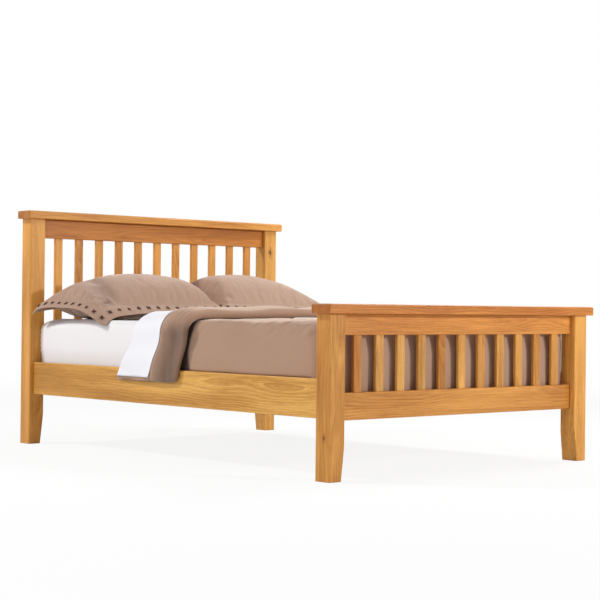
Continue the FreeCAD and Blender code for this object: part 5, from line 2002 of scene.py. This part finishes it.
@dataclass
class Studio:
    """Pale floor, white surroundings and soft lights.

    Attributes:
        reach: Radius of the floor.
        glow: Share of plain white that the floor shows to the camera near the bed.
        ambient: Strength of the light from all sides.
        floor_colour: Linear colour of the floor.
        ambient_colour: Linear colour of the light from all sides.
        lights: The soft lights.
    """

    reach: float = 9.0
    glow: float = 0.88
    ambient: float = 0.26
    floor_colour: Colour = (0.92, 0.92, 0.92)
    ambient_colour: Colour = (1.0, 0.985, 0.965)
    lights: tuple[SoftBox, ...] = (
        SoftBox("key", (2.1, -5.8, 2.0), (0.0, -0.9, 0.4), 0.50, 0.60),
        SoftBox("overhead", (2.1, -0.5, 2.9), (0.2, 0.2, 0.5), 1.1, 0.74),
        SoftBox("side_fill", (-4.4, 3.4, 5.0), (-0.7, 0.0, 0.4), 0.7, 0.60),
        SoftBox("front_fill", (-6.3, -2.1, 1.8), (-0.7, -0.9, 0.4), 1.2, 0.23),
    )

    def seen_plainly(self, wiring: Wiring) -> Socket:
        """Return a mask of 1 for rays from the camera, a gloss or a clear body."""
        path = wiring.node("ShaderNodeLightPath")
        mask = wiring.math("MAXIMUM", path.outputs["Is Camera Ray"],
                           path.outputs["Is Glossy Ray"])
        return wiring.math("MAXIMUM", mask, path.outputs["Is Transmission Ray"])

    def build(self) -> None:
        """Make the floor, the surroundings and the lights."""
        mesh = bpy.data.meshes.new("floor")
        angles = np.linspace(0.0, 2 * math.pi, 96, endpoint=False)
        rim = [(self.reach * math.cos(a), self.reach * math.sin(a), 0.0) for a in angles]
        mesh.from_pydata(rim, [], [tuple(range(len(rim)))])
        floor = put("floor", mesh)
        material = bpy.data.materials.new("pale_floor")
        wiring = emptied(material)
        place = wiring.node("ShaderNodeTexCoord")
        distance = wiring.vector("LENGTH", place.outputs["Object"])
        share = wiring.rise(distance, 2.4, self.reach * 0.85, self.glow, 1.0)
        mixed = wiring.node("ShaderNodeMixShader", {
            0: wiring.times(self.seen_plainly(wiring), share),
            1: wiring.node("ShaderNodeBsdfDiffuse", {0: self.floor_colour}).outputs[0],
            2: wiring.node("ShaderNodeEmission").outputs[0]})
        wiring.node("ShaderNodeOutputMaterial", {"Surface": mixed.outputs[0]})
        mesh.materials.append(material)

        world = bpy.data.worlds.new("white_room")
        bpy.context.scene.world = world
        wiring = emptied(world)
        light = wiring.node("ShaderNodeBackground", {"Strength": self.ambient,
                                                     "Color": self.ambient_colour})
        backdrop = wiring.node("ShaderNodeBackground", {"Color": (1.0, 1.0, 1.0)})
        mixed = wiring.node("ShaderNodeMixShader", {
            0: self.seen_plainly(wiring), 1: light.outputs[0], 2: backdrop.outputs[0]})
        wiring.node("ShaderNodeOutputWorld", {"Surface": mixed.outputs[0]})
        for box in self.lights:
            box.build()
        bpy.context.scene.view_settings.view_transform = "Standard"


# ---- the whole bed


def keep(piece: Object, slot: str, *nodes: str) -> None:
    """Let a piece ride on the bed, in place of its solids.

    Args:
        piece: The piece.
        slot: Not used.
        *nodes: The solids that it stands for.
    """
    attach(piece, ROOT)
    if nodes:
        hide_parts(*nodes)
    log.info("made %s with %d faces", piece.name, len(piece.data.polygons))


def main() -> None:
    """Build the bed's looks around its solids."""
    logging.basicConfig(level=logging.INFO, format="%(name)s: %(message)s")
    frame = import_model()
    effects = SharedEffects()
    PortraitCamera().build()
    Studio().build()
    OakFrame(frame["nodes"], effects).dress()

    duvet_cotton = DUVET_COTTON.material(effects)
    pillow_cotton = PILLOW_COTTON.material(effects)
    thread = STITCH_THREAD.material(effects)

    low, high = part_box("mattress")
    mattress = FittedMattress(low, high).build(FITTED_COTTON.material(effects))
    keep(mattress, "white_cover", "mattress")

    form = DuvetForm()
    duvet = TuckedDuvet(form).build(duvet_cotton)
    keep(duvet, "duvet_cotton", "duvet")

    turn_down = TurnDown(form)
    turned = turn_down.build_turn(duvet_cotton)
    keep(turned, "duvet_cotton", "duvet_turned_back")
    top_sheet, run = turn_down.build_sheet(SHEET_COTTON.material(effects))
    keep(top_sheet, "white_cotton", "top_sheet")

    for pillow in (
        Pillow("pillow_near", -0.374, 0.689, (0.098, 0.010, 0.036, 0.010), 31, 1.0, 0.0,
               (2.5, 0.70)),
        Pillow("pillow_far", 0.332, 0.694, (0.010, 0.045, 0.010, 0.022), 41, 0.2, -0.3,
               (1.8, 0.75), half_length=0.345, crown=0.120, seam_z=0.642),
    ):
        piece = pillow.build(pillow_cotton)
        keep(piece, "pillow_cotton", "pillow_left" if pillow.x < 0 else "pillow_right")
        line, lift = pillow.stitch_path()
        stitches = CrossStitches(seed=pillow.seed).build(f"{pillow.name}_stitches", line, lift,
                                                         thread)
        keep(stitches, "pillow_cotton")


if __name__ == "__main__":
    main()
